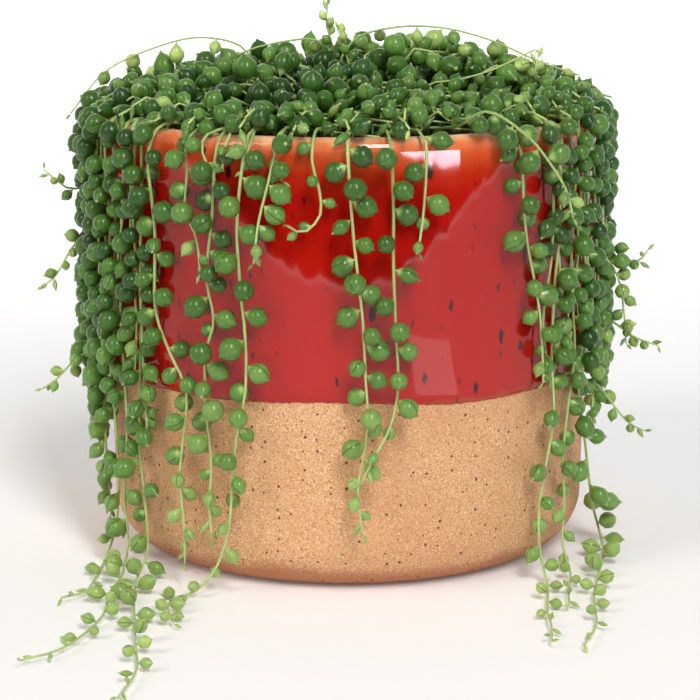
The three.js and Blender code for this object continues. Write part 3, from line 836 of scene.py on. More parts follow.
class Route:
    """A smooth curve through chosen points, measured along its length."""

    def __init__(self, points: Sequence[Vector], samples: int = 10) -> None:
        """Runs a centripetal spline through the points.

        Args:
            points: The points to pass through, in order.
            samples: How many stretches each span is cut into.
        """
        ends = [2 * points[0] - points[1], *points, 2 * points[-1] - points[-2]]
        self.points = [points[0]]
        for k in range(len(points) - 1):
            self.points += [self.on_span(ends[k:k + 4], j / samples) for j in range(1, samples + 1)]
        self.marks = [0.0]
        for before, after in zip(self.points, self.points[1:]):
            self.marks.append(self.marks[-1] + (after - before).length)
        self.length = self.marks[-1]

    @staticmethod
    def on_span(ends: Sequence[Vector], share: float) -> Vector:
        """The point at a share of the span between the second and third of four points.

        Args:
            ends: Four points in a row.
            share: Share of the middle span, from 0 to 1.

        Returns:
            The point.
        """
        first, start, end, last = ends
        before, along, after = (max((b - a).length ** 0.5, 1e-6)
                                for a, b in ((first, start), (start, end), (end, last)))
        leave = ((start - first) / before - (end - first) / (before + along) + (end - start) / along) * along
        arrive = ((end - start) / along - (last - start) / (along + after) + (last - end) / after) * along
        square, cube = share ** 2, share ** 3
        return (start * (2 * cube - 3 * square + 1) + leave * (cube - 2 * square + share)
                + end * (3 * square - 2 * cube) + arrive * (cube - square))

    def span_at(self, distance: float) -> int:
        """Index of the stretch that holds a distance along the curve.

        Args:
            distance: Distance along the curve.

        Returns:
            The stretch's index.
        """
        low, high = 0, len(self.marks) - 2
        while low < high:
            middle = (low + high + 1) // 2
            if self.marks[middle] <= distance:
                low = middle
            else:
                high = middle - 1
        return low

    def at(self, distance: float) -> Vector:
        """The point at a distance along the curve."""
        k = self.span_at(distance)
        share = (distance - self.marks[k]) / max(self.marks[k + 1] - self.marks[k], 1e-9)
        return self.points[k].lerp(self.points[k + 1], clamp(share))

    def heading(self, distance: float) -> Vector:
        """The curve's direction at a distance along it."""
        step = 1.5 * MM
        return (self.at(min(distance + step, self.length)) - self.at(max(distance - step, 0))).normalized()

    def nearest_to_height(self, height: float) -> Vector:
        """The point nearest to a height, past the rim."""
        spaced = [self.at(self.length * k / 120) for k in range(24, 121)]
        return min(spaced, key=lambda point: abs(point.z - height))


class LeafShape(Enum):
    """Half outlines of a leaf of radius 1 that points up: (height, distance from its axis)."""

    PEARL = ((-1.42, 0), (-1.1, 0.14), (-0.76, 0.62), (-0.2, 0.98), (0.35, 0.94), (0.79, 0.60), (0.98, 0.22),
             (1.22, 0))
    LEMON = ((-1.6, 0), (-1.2, 0.14), (-0.8, 0.5), (-0.25, 0.86), (0.3, 0.86), (0.8, 0.52), (1.1, 0.2),
             (1.45, 0))
    BUD = ((-1.5, 0), (-1.1, 0.12), (-0.7, 0.34), (-0.1, 0.5), (0.5, 0.42), (1.0, 0.22), (1.3, 0.1),
           (1.6, 0))


class LeafTemplates:
    """One turned mesh for each leaf shape, copied for every leaf."""

    def __init__(self, segments: int = 10) -> None:
        """Turns every leaf shape once."""
        self.meshes = {shape: self.turned(shape, segments) for shape in LeafShape}

    @staticmethod
    def turned(shape: LeafShape, segments: int) -> Mesh:
        """Turns one leaf shape and keeps each point's place on the leaf as an attribute.

        Args:
            shape: The leaf shape.
            segments: Steps of the full turn.

        Returns:
            The template's mesh.
        """
        mesh = turn([(distance, height) for height, distance in shape.value], segments)
        layer = mesh.verts.layers.float_vector.new("leaf_place")
        for vert in mesh.verts:
            vert[layer] = vert.co
        for face in mesh.faces:
            face.smooth = True
        data = bpy.data.meshes.new(f"leaf_{shape.name.lower()}")
        mesh.to_mesh(data)
        mesh.free()
        return data

    def clear(self) -> None:
        """Removes the template meshes once every leaf is placed."""
        for data in self.meshes.values():
            bpy.data.meshes.remove(data)


@dataclass(frozen=True)
class Leaf:
    """One placed leaf: its middle, the way it points, its radius and its looks."""

    centre: Vector
    aim: Vector
    radius: float
    shape: LeafShape
    # For leaves in the crown's mound, age and tone also hold painted shade by depth.
    age: float
    tone: float
    roll: float


@dataclass(frozen=True)
class Stem:
    """One stem: its route, its radius at both ends and its age at both ends."""

    route: Route
    thick: float = 0.56 * MM
    thin: float = 0.36 * MM
    old: float = 0.8
    young: float = 0.1


class Foliage:
    """Stems and leaves of one piece, built into one mesh."""

    def __init__(self, templates: LeafTemplates) -> None:
        """Starts an empty mesh with the attributes that the skins read.

        Args:
            templates: The turned leaf shapes.
        """
        self.templates = templates
        self.mesh = bmesh.new()
        layers = self.mesh.verts.layers
        layers.float_vector.new("leaf_place")
        layers.float.new("age")
        layers.float.new("tone")

    def add_leaf(self, leaf: Leaf) -> None:
        """Copies a template to a leaf's place.

        Args:
            leaf: The leaf to add.
        """
        first = len(self.mesh.verts)
        self.mesh.from_mesh(self.templates.meshes[leaf.shape])
        self.mesh.verts.ensure_lookup_table()
        fresh = self.mesh.verts[first:]
        turned = leaf.aim.to_track_quat("Z", "Y").to_matrix().to_4x4() @ Matrix.Rotation(leaf.roll, 4, "Z")
        place = Matrix.Translation(leaf.centre) @ turned @ Matrix.Scale(leaf.radius, 4)
        bmesh.ops.transform(self.mesh, matrix=place, verts=fresh)
        age = self.mesh.verts.layers.float["age"]
        tone = self.mesh.verts.layers.float["tone"]
        for vert in fresh:
            vert[age] = leaf.age
            vert[tone] = leaf.tone

    def add_stem(self, stem: Stem, sides: int = 6, step: float = 3.2 * MM) -> None:
        """Extrudes a ring of points along a stem's route and closes its ends.

        Args:
            stem: The stem to add.
            sides: Points in the ring.
            step: Length of a stretch along the stem.
        """
        mesh, route = self.mesh, stem.route
        age = mesh.verts.layers.float["age"]
        count = max(3, round(route.length / step))
        turned = route.heading(0).to_track_quat("Z", "Y")
        old = self.ring_place(route.at(0), turned, stem.thick)
        verts = bmesh.ops.create_circle(mesh, radius=1, segments=sides, matrix=old)["verts"]
        edges = list({edge for vert in verts for edge in vert.link_edges})
        bmesh.ops.edgeloop_fill(mesh, edges=edges)
        for k in range(count + 1):
            share = k / count
            if k:
                grown = bmesh.ops.extrude_edge_only(mesh, edges=edges)["geom"]
                verts = [part for part in grown if isinstance(part, BMVert)]
                edges = [part for part in grown if isinstance(part, BMEdge)]
                heading = route.heading(route.length * share)
                turned = (turned @ Vector((0, 0, 1))).rotation_difference(heading) @ turned
                new = self.ring_place(route.at(route.length * share), turned,
                                      mix(stem.thick, stem.thin, share))
                bmesh.ops.transform(mesh, matrix=new @ old.inverted(), verts=verts)
                old = new
            for vert in verts:
                vert[age] = shown_age(mix(stem.old, stem.young, share), vert.co.z)
        bmesh.ops.edgeloop_fill(mesh, edges=edges)

    @staticmethod
    def ring_place(point: Vector, turned: Quaternion, radius: float) -> Matrix:
        """Where a ring of radius 1 goes to lie round a stem."""
        return Matrix.Translation(point) @ turned.to_matrix().to_4x4() @ Matrix.Scale(radius, 4)

    def build(self, name: str, leaf_skin: Material, stem_skin: Material) -> Object:
        """Turns the mesh into an object whose stems and leaves have their own skins.

        Args:
            name: The object's name.
            leaf_skin: The leaves' material.
            stem_skin: The stems' material.

        Returns:
            The new object.
        """
        bmesh.ops.recalc_face_normals(self.mesh, faces=self.mesh.faces)
        tone = self.mesh.verts.layers.float["tone"]
        for face in self.mesh.faces:
            face.material_index = 0 if face.verts[0][tone] > 0 else 1
        return mesh_object(name, self.mesh, [leaf_skin, stem_skin])


class Thicket:
    """Remembers every leaf and stem, so that a new leaf goes where there is room."""

    def __init__(self, form: PotForm, cell: float = 9 * MM) -> None:
        """Starts with only the pot, the soil and the floor."""
        self.form = form
        self.cell = cell
        self.cells: dict[tuple[int, ...], list[tuple[Vector, float]]] = defaultdict(list)

    def key(self, point: Vector) -> tuple[int, ...]:
        """The cell that holds a point."""
        return tuple(math.floor(value / self.cell) for value in point)

    def take(self, point: Vector, radius: float) -> None:
        """Marks a ball as taken."""
        self.cells[self.key(point)].append((point, radius))

    def take_stem(self, route: Route, radius: float = -0.9 * MM, step: float = 2.5 * MM) -> None:
        """Marks a stem as taken, as a row of points that a soft leaf may press against."""
        for k in range(int(route.length / step) + 1):
            self.take(route.at(k * step), radius)

    def pot_gap(self, point: Vector) -> float:
        """Distance from a point to the pot, the soil or the floor, less than 0 inside them.

        Args:
            point: The point.

        Returns:
            The distance in metres.
        """
        form = self.form
        across = math.hypot(point.x, point.y)
        if point.z > form.lip_height:
            lip = math.hypot(across - form.lip_centre, point.z - form.lip_height)
            gap = lip - form.lip_rounding - form.glaze_depth
        elif across > form.lip_centre:
            gap = across - form.clay_radius(max(point.z, form.foot_rounding)) - form.glaze_depth
        else:
            gap = form.inner_radius(point.z) - across
        if across < form.lip_centre:
            gap = min(gap, point.z - form.soil_top)
        return min(gap, point.z)

    def has_room(self, point: Vector, radius: float, press: float = 0.95) -> bool:
        """Whether a ball fits, pressed a little against its neighbours.

        Args:
            point: The ball's centre.
            radius: Its radius.
            press: Share of the full distance that it keeps from a neighbour.

        Returns:
            True if there is room.
        """
        if self.pot_gap(point) < radius:
            return False
        home = self.key(point)
        for dx in (-1, 0, 1):
            for dy in (-1, 0, 1):
                for dz in (-1, 0, 1):
                    for other, size in self.cells.get((home[0] + dx, home[1] + dy, home[2] + dz), ()):
                        if (other - point).length < (radius + size) * press:
                            return False
        return True


@dataclass(frozen=True)
class LeafHabit:
    """How leaves sit along a stem.

    Ages run from 0, young and lime green, to 1, old and dark green. The turn is the share of the way round
    the stem that the leaves use, on the side away from the pot.
    """

    spacing: float = 5.0 * MM
    radius: float = 3.2 * MM
    bud_radius: float = 1.1 * MM
    growth: float = 30 * MM
    first: float = 8 * MM
    droop: float = 0.35
    tip_age: float = 0.2
    root_age: float = 0.85
    ageing: float = 75 * MM
    age_spread: float = 0.09
    smallest: float = 0.78
    reach: float = 0.0945
    lemons: float = 0.12
    low_lemons: float = 0.75
    low_height: float = 0.030
    low_fade: float = 0.045
    bud_part: float = 0.17
    lemon_part: float = 0.6
    domed: bool = True
    turn: float = 1.0

    def radius_at(self, from_tip: float, draw: random.Random) -> float:
        """Radius of a leaf at a distance from the stem's tip."""
        grown = clamp(from_tip / self.growth) ** 0.7
        return mix(self.bud_radius, self.radius, grown) * draw.uniform(self.smallest, 1.1)

    def age_at(self, from_tip: float, draw: random.Random) -> float:
        """Age of a leaf at a distance from the stem's tip."""
        steady = mix(self.tip_age, self.root_age, clamp(from_tip / self.ageing))
        return clamp(steady + draw.gauss(0, self.age_spread), 0, 1.05)

    def shape_at(self, from_tip: float, height: float, draw: random.Random) -> LeafShape:
        """Shape of a leaf: buds at the stem's tip, then lemons, then pearls, but more lemons low down.

        Args:
            from_tip: Distance from the stem's tip.
            height: Height above the surface.
            draw: Draws the small differences.

        Returns:
            The shape.
        """
        if from_tip < self.bud_part * self.growth:
            return LeafShape.BUD
        lemons = mix(self.low_lemons, self.lemons, clamp((height - self.low_height) / self.low_fade))
        if from_tip < self.lemon_part * self.growth or draw.random() < lemons:
            return LeafShape.LEMON
        return LeafShape.PEARL


@dataclass
class Grower:
    """Grows leaves along stems wherever the thicket has room."""

    thicket: Thicket
    golden: float = math.radians(GOLDEN_ANGLE)
    tries: Sequence[float] = (0, 0.6, -0.6, 1.2, -1.2, 1.8, -1.8, 2.5)
    floor_reach: float = 0.012
    core_top: float = 0.105
    crowded_tip: float = 0.010
    crowding: float = 0.55
    step_spread: tuple[float, float] = (0.8, 1.2)
    retry: float = 0.35
    roof_foot: float = 0.1330
    roof_rise: float = 0.0325
    roof_radius: float = 0.0890
    roof_bump: float = 0.0035
    # The mound and depth settings paint light and shade into the crown. Leaves deep in the mound get an
    # older, darker green and a lower tone. Leaves on its top get a younger, paler green and a higher tone.
    # Leaves outside the mound get a middling share.
    shoulder: float = 0.1430
    mound_foot: float = 0.1360
    mound_radius: float = 0.0720
    mound_depth: float = 0.0130
    open_depth: float = 0.4
    painted_shade_age: tuple[float, float] = (-0.20, 0.30)
    painted_shade_tone: tuple[float, float] = (1.16, 0.76)
    tones: tuple[float, float] = (0.86, 1.12)
    forward_lean: tuple[float, float] = (0.9, 0.15)

    def outward(self, point: Vector, heading: Vector) -> Vector:
        """The direction across a stem that leads most away from the pot.

        Args:
            point: A point on the stem.
            heading: The stem's direction there.

        Returns:
            The direction, of length 1.
        """
        if point.z < self.floor_reach:
            away = Vector((0, 0, 1))
        else:
            away = point - Vector((0, 0, min(point.z, self.core_top)))
        across = away - heading * away.dot(heading)
        return across.normalized() if across.length > 1e-6 else heading.orthogonal().normalized()

    def leaves(self, route: Route, habit: LeafHabit, seed: int) -> list[Leaf]:
        """Places leaves along a stem, from its tip back to its root.

        Args:
            route: The stem's route.
            habit: How the leaves sit.
            seed: Starts the draw of small differences.

        Returns:
            The leaves that found room.
        """
        draw = random.Random(seed)
        grown = []
        along, count = 0.0, seed
        while along < route.length - habit.first:
            radius = habit.radius_at(along, draw)
            leaf = self.place(route, route.length - along, radius, habit, count, draw)
            if leaf:
                grown.append(leaf)
                self.thicket.take(leaf.centre, radius)
            crowded = mix(self.crowding, 1.0, clamp(along / self.crowded_tip))
            step = habit.spacing * crowded * draw.uniform(*self.step_spread)
            along += step if leaf else step * self.retry
            count += 1
        return grown

    def inside_outline(self, centre: Vector, radius: float, habit: LeafHabit) -> bool:
        """Whether a leaf keeps inside the plant's rounded outline.

        Args:
            centre: The leaf's middle.
            radius: Its radius.
            habit: How the stem's leaves sit.

        Returns:
            True if it does.
        """
        across = math.hypot(centre.x, centre.y)
        if across + radius > habit.reach:
            return False
        return not habit.domed or centre.z + radius < max(self.roof(centre), self.shoulder)

    def roof(self, centre: Vector) -> float:
        """Height of the mound's bumpy, domed top over a point."""
        across = math.hypot(centre.x, centre.y)
        dome = self.roof_foot + self.roof_rise * math.sqrt(max(0.0, 1 - (across / self.roof_radius) ** 2))
        return dome + self.roof_bump * noise.noise(Vector((centre.x, centre.y, 0.2)) * per_metre(11 * MM))

    def depth(self, centre: Vector, radius: float) -> float:
        """How deep a leaf sits in the mound, from 0 at the top to 1, or a middling value outside it; it sets
        the leaf's painted shade.
        """
        if centre.z < self.mound_foot or math.hypot(centre.x, centre.y) > self.mound_radius:
            return self.open_depth
        return clamp((self.roof(centre) - centre.z - radius) / self.mound_depth)

    def place(self, route: Route, distance: float, radius: float, habit: LeafHabit, count: int,
              draw: random.Random) -> Leaf | None:
        """Tries to place one leaf at a distance along a stem, turned round it until there is room.

        Args:
            route: The stem's route.
            distance: Distance along the route.
            radius: The leaf's radius.
            habit: How the stem's leaves sit.
            count: The leaf's number, which turns it round the stem.
            draw: Draws the small differences.

        Returns:
            The leaf, or None without room.
        """
        point, heading = route.at(distance), route.heading(distance)
        out = self.outward(point, heading)
        side = heading.cross(out)
        from_tip = route.length - distance
        shape = habit.shape_at(from_tip, point.z, draw)
        reach = -shape.value[0][0] * radius
        first = math.remainder(count * self.golden, math.tau) * habit.turn
        for offset in self.tries:
            angle = first + offset
            aim = out * math.cos(angle) + side * math.sin(angle)
            droop = habit.droop if point.z > self.floor_reach else 0.0
            lean = mix(*self.forward_lean, clamp(from_tip / habit.growth))
            aim = (aim + heading * lean + Vector((0, 0, -droop))).normalized()
            centre = point + aim * reach
            if not self.inside_outline(centre, radius, habit):
                continue
            if self.thicket.has_room(centre, radius):
                # Painted shade: deeper in the mound a leaf's age goes up and its tone down, which darkens
                # it. On top both go the other way, which paints it paler.
                depth = self.depth(centre, radius)
                age = shown_age(habit.age_at(from_tip, draw), point.z) + mix(*self.painted_shade_age, depth)
                tone = draw.uniform(*self.tones) * mix(*self.painted_shade_tone, depth)
                return Leaf(centre, aim, radius, shape, clamp(age, 0, 1.05), tone, draw.uniform(0, math.tau))
        return None


# Strands ---------------------------------------------------------------------------------------


@dataclass(frozen=True)
class StrandForm:
    """Driving sizes of the strands' way from the soil over the rim."""

    root_radius: float = 0.062
    root_spread: float = 0.007
    root_depth: float = 0.0054
    straight_rise: float = 0.006
    arch_height: float = 0.1416
    arch_spread: float = 0.0010
    crossing_clearance: float = 0.0004
    crossing_radius: float = 0.0813
    hang_radius: float = 0.085
    side_radius: float = 0.0828
    side: float = 46
    side_sway: float = 1.3
    sway_wave: float = 1.9
    sway_shift: float = 2.3
    trail_height: float = 0.0022

    def hang_at(self, azimuth: float) -> float:
        """How far from the axis a strand hangs: closer to the wall at the sides and behind."""
        return self.side_radius if abs(azimuth) > self.side else self.hang_radius


@dataclass
class Strand:
    """One trailing stem with its side shoots."""

    row: StrandRow
    index: int
    pot: PotForm
    form: StrandForm = field(default_factory=StrandForm)

    def main_route(self) -> Route:
        """Runs the stem from its root, over the rim, down the pot and along the surface.

        Returns:
            The stem's route.
        """
        form, soil_top = self.form, self.pot.soil_top
        first_azimuth, first_height = self.row.hang[0][:2]
        root_azimuth = first_azimuth if self.row.root is None else self.row.root
        root_radius = form.root_radius + form.root_spread * spread(self.index)
        arch = form.arch_height + form.arch_spread * spread(self.index, 0.4)
        points = [
            around_pot(root_azimuth, root_radius, soil_top - form.root_depth),
            around_pot(root_azimuth, root_radius, soil_top - MM),
            around_pot(root_azimuth, root_radius, soil_top + form.straight_rise),
            around_pot((root_azimuth + first_azimuth) / 2,
                       (root_radius + form.crossing_radius) / 2 + MM, arch),
        ]
        if first_height < self.pot.height:
            crossing = max(first_height, self.pot.height) + form.crossing_clearance
            points.append(around_pot(first_azimuth, form.crossing_radius, crossing))
        sway = form.side_sway if abs(first_azimuth) > form.side else 0.0
        for k, (azimuth, height, *distance) in enumerate(self.row.hang):
            swayed = azimuth + sway * math.sin(form.sway_wave * k + form.sway_shift * self.index)
            points.append(around_pot(swayed, distance[0] if distance else form.hang_at(azimuth), height))
        points += [Vector((x, y, form.trail_height)) for x, y in self.row.trail]
        return Route(points)

    def twig_routes(self, main: Route) -> list[Route]:
        """Runs each side shoot from the stem out through its own points.

        Args:
            main: The stem's route.

        Returns:
            One route for each side shoot.
        """
        routes = []
        for height, *ends in self.row.twigs:
            start = main.nearest_to_height(height)
            routes.append(Route([start, *(around_pot(az, away, z) for az, z, away in ends)]))
        return routes


@dataclass(frozen=True)
class CurtainRule:
    """A run of hanging strands that fills the spaces between the chosen ones.

    The strands go from one azimuth to another, hang at a distance from the axis and end between two
    heights.
    """

    name: str
    start: float
    end: float
    count: int
    distance: float
    lowest: float
    highest: float
    sway: float = 5.0
    sway_wave: float = 1.7
    sway_shift: float = 2.1
    swell: float = 0.9 * MM
    swell_wave: float = 1.3
    swell_shift: float = 2.6
    step: float = 0.017

    def rows(self) -> list[StrandRow]:
        """Lays out the strands of this run."""
        return [self.row(lane) for lane in range(self.count)]

    def row(self, lane: int) -> StrandRow:
        """Lays out one strand.

        Args:
            lane: The strand's number in the run.

        Returns:
            The strand's chosen points.
        """
        azimuth = mix(self.start, self.end, (lane + 0.5) / self.count)
        end = mix(self.lowest, self.highest, spread(lane, 0.35))
        steps = max(1, round((HANG_TOP - end) / self.step))
        hang = []
        for k in range(steps + 1):
            height = mix(HANG_TOP, end, k / steps)
            sway = self.sway * spread(lane, 0.5) * math.sin(self.sway_wave * k + self.sway_shift * lane)
            bow = 1 + math.sin(self.swell_wave * k + self.swell_shift * lane)
            distance = self.distance + self.swell * bow * clamp(k / 2)
            hang.append((azimuth + sway * k / steps, height, distance))
        return StrandRow(f"{self.name}_{lane + 1}", hang=tuple(hang))


@dataclass(frozen=True)
class BackCurtain:
    """The strands behind the pot, laid out by rule."""

    count: int = 12
    start: float = 112
    end: float = 249
    lowest: float = 0.014
    highest: float = 0.092
    steps: int = 5
    sway: float = 2.0
    sway_wave: float = 1.7
    trailing: Sequence[int] = (3, 8)
    trail_start: float = 0.009
    trail_reach: Sequence[float] = (0.094, 0.106, 0.118)
    trail_turn: float = 4

    def rows(self) -> list[StrandRow]:
        """Lays out every strand behind the pot."""
        return [self.row(lane) for lane in range(self.count)]

    def row(self, lane: int) -> StrandRow:
        """Lays out one strand: hanging, or reaching the surface and trailing off along it.

        Args:
            lane: The strand's number from the right.

        Returns:
            The strand's chosen points.
        """
        azimuth = mix(self.start, self.end, lane / (self.count - 1))
        trails = lane in self.trailing
        end = self.trail_start if trails else mix(self.lowest, self.highest, spread(lane, 0.3))
        hang = tuple((azimuth + self.sway * spread(lane, 0.5) * math.sin(k * self.sway_wave + lane),
                      mix(HANG_TOP, end, k / self.steps)) for k in range(self.steps + 1))
        ends = [around_pot(azimuth + self.trail_turn * k, reach, 0)
                for k, reach in enumerate(self.trail_reach)]
        return StrandRow(f"back_{lane + 1}", hang=hang, trail=[(p.x, p.y) for p in ends] if trails else ())


@dataclass
class StrandBuilder:
    """Builds strands as pieces: stems first, so that every leaf keeps clear of every stem.

    Strands nearer the front than mirrored_from, in degrees, don't show in the glaze's reflections.
    """

    templates: LeafTemplates
    grower: Grower
    pot: PotForm
    skins: Skins
    form: StrandForm = field(default_factory=StrandForm)
    fork_inner: float = 0.066
    fork_outer: float = 0.077
    left_reach: float = 0.0915
    right_reach: float = 0.0875
    side_radius: float = 3.4 * MM
    mirrored_from: float = 48
    twig_habit: LeafHabit = field(default_factory=lambda: LeafHabit(
        radius=2.8 * MM, spacing=4.4 * MM, first=3 * MM, root_age=0.5, reach=1.0, domed=False))

    def habit(self, row: StrandRow, main: Route) -> LeafHabit:
        """How leaves sit on a strand: long strands taper over a longer stretch.

        Args:
            row: The strand's row.
            main: Its stem's route.

        Returns:
            The habit.
        """
        beside = abs(row.hang[0][0]) > self.form.side
        if row.trail:
            return LeafHabit(spacing=row.trail_spacing, radius=row.leaf_radius, reach=1.0,
                             growth=min(0.55 * main.length, 0.130), ageing=min(0.9 * main.length, 0.190))
        if beside:
            return LeafHabit(spacing=row.side_spacing, radius=self.side_radius, droop=0.75, turn=0.6,
                             reach=self.left_reach if row.hang[0][0] < 0 else self.right_reach,
                             growth=max(0.2 * main.length, 0.014), first=4 * MM, tip_age=0.3, root_age=0.85,
                             ageing=clamp(0.5 * main.length, 0.020, 0.080), age_spread=0.13)
        return LeafHabit(spacing=row.spacing, radius=row.leaf_radius, ageing=max(0.7 * main.length, 0.030),
                         growth=max(0.25 * main.length, 0.016))

    def routes(self, row: StrandRow, index: int) -> list[Route]:
        """The routes of a strand's stem and side shoots, marked as taken.

        Args:
            row: The strand's row.
            index: Its number, for small differences.

        Returns:
            The stem's route, then those of the side shoots.
        """
        strand = Strand(row, index, self.pot)
        main = strand.main_route()
        routes = [main, *strand.twig_routes(main)]
        for route in routes:
            self.grower.thicket.take_stem(route)
        return routes

    def branch_routes(self, row: StrandRow, mains: Sequence[Route]) -> list[Route]:
        """The route of a branch that leaves the nearest long stem inside the rim, marked as taken.

        Args:
            row: The branch's row.
            mains: The routes of the long stems.

        Returns:
            The branch's route, as the only one in a list.
        """
        ends = [around_pot(azimuth, distance, height) for azimuth, height, distance in row.hang]
        crossing = around_pot(row.hang[0][0], self.form.crossing_radius,
                              self.pot.height + self.form.crossing_clearance)
        forks = [point for main in mains for point in main.points
                 if point.z > self.pot.soil_top and self.fork_inner < point.xy.length < self.fork_outer]
        start = min(forks, key=lambda point: (point - crossing).length)
        route = Route([start, crossing, *ends])
        self.grower.thicket.take_stem(route)
        return [route]

    def piece(self, name: str, strands: Sequence[tuple[StrandRow, int, list[Route]]],
              replaced: str | None = None) -> Object:
        """Builds the piece that holds the given strands.

        Args:
            name: The object's name.
            strands: The row, the index and the routes of each strand.
            replaced: The CAD node that the piece stands for, if any.

        Returns:
            The finished piece.
        """
        foliage = Foliage(self.templates)
        for row, index, (main, *twigs) in strands:
            foliage.add_stem(Stem(main, old=mix(0.25, 0.95, spread(index, 0.4))))
            for twig in twigs:
                foliage.add_stem(Stem(twig, thick=0.42 * MM, thin=0.25 * MM, old=0.3))
            for leaf in self.grower.leaves(main, self.habit(row, main), STRAND_SEED + index):
                foliage.add_leaf(leaf)
            for k, twig in enumerate(twigs):
                for leaf in self.grower.leaves(twig, self.twig_habit, TWIG_SEED + 11 * index + k):
                    foliage.add_leaf(leaf)
        made = foliage.build(name, *self.skins)
        made.visible_glossy = abs(strands[0][0].hang[0][0]) > self.mirrored_from
        if replaced:
            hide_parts(replaced)
        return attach(made, BODY)


# Crown -----------------------------------------------------------------------------------------


@dataclass(frozen=True)
class CrownForm:
    """Driving sizes of the mound of sprigs in the middle of the pot."""

    radius: float = 0.066
    rise: float = 0.0255
    sprigs: int = 140
    sprig_rise: tuple[float, float] = (0.62, 1.1)
    sprig_lean: tuple[float, float] = (0.5, 1.3)
    sprig_turn: float = 30
    sprig_sink: float = 2 * MM
    rim_sprigs: int = 84
    rim_root: float = 0.0685
    rim_reach: tuple[float, float] = (0.005, 0.017)
    rim_rise: tuple[float, float] = (0.0105, 0.0150)
    rim_turn: float = 6
    gap: tuple[float, float] = (20, 39)
    gap_inner: float = 0.050
    gap_rings: tuple[float, ...] = (0.055, 0.064)
    gap_balls: int = 7
    gap_room: float = 5.5 * MM
    gap_height: float = 5.5 * MM
    young_share: float = 0.16
    lean: float = 0.011
    shrink: float = 0.93

    def top(self, distance: float) -> float:
        """Height of the mound above the soil at a distance from its middle."""
        return self.rise * math.sqrt(max(0.06, 1 - (distance / self.radius) ** 2))


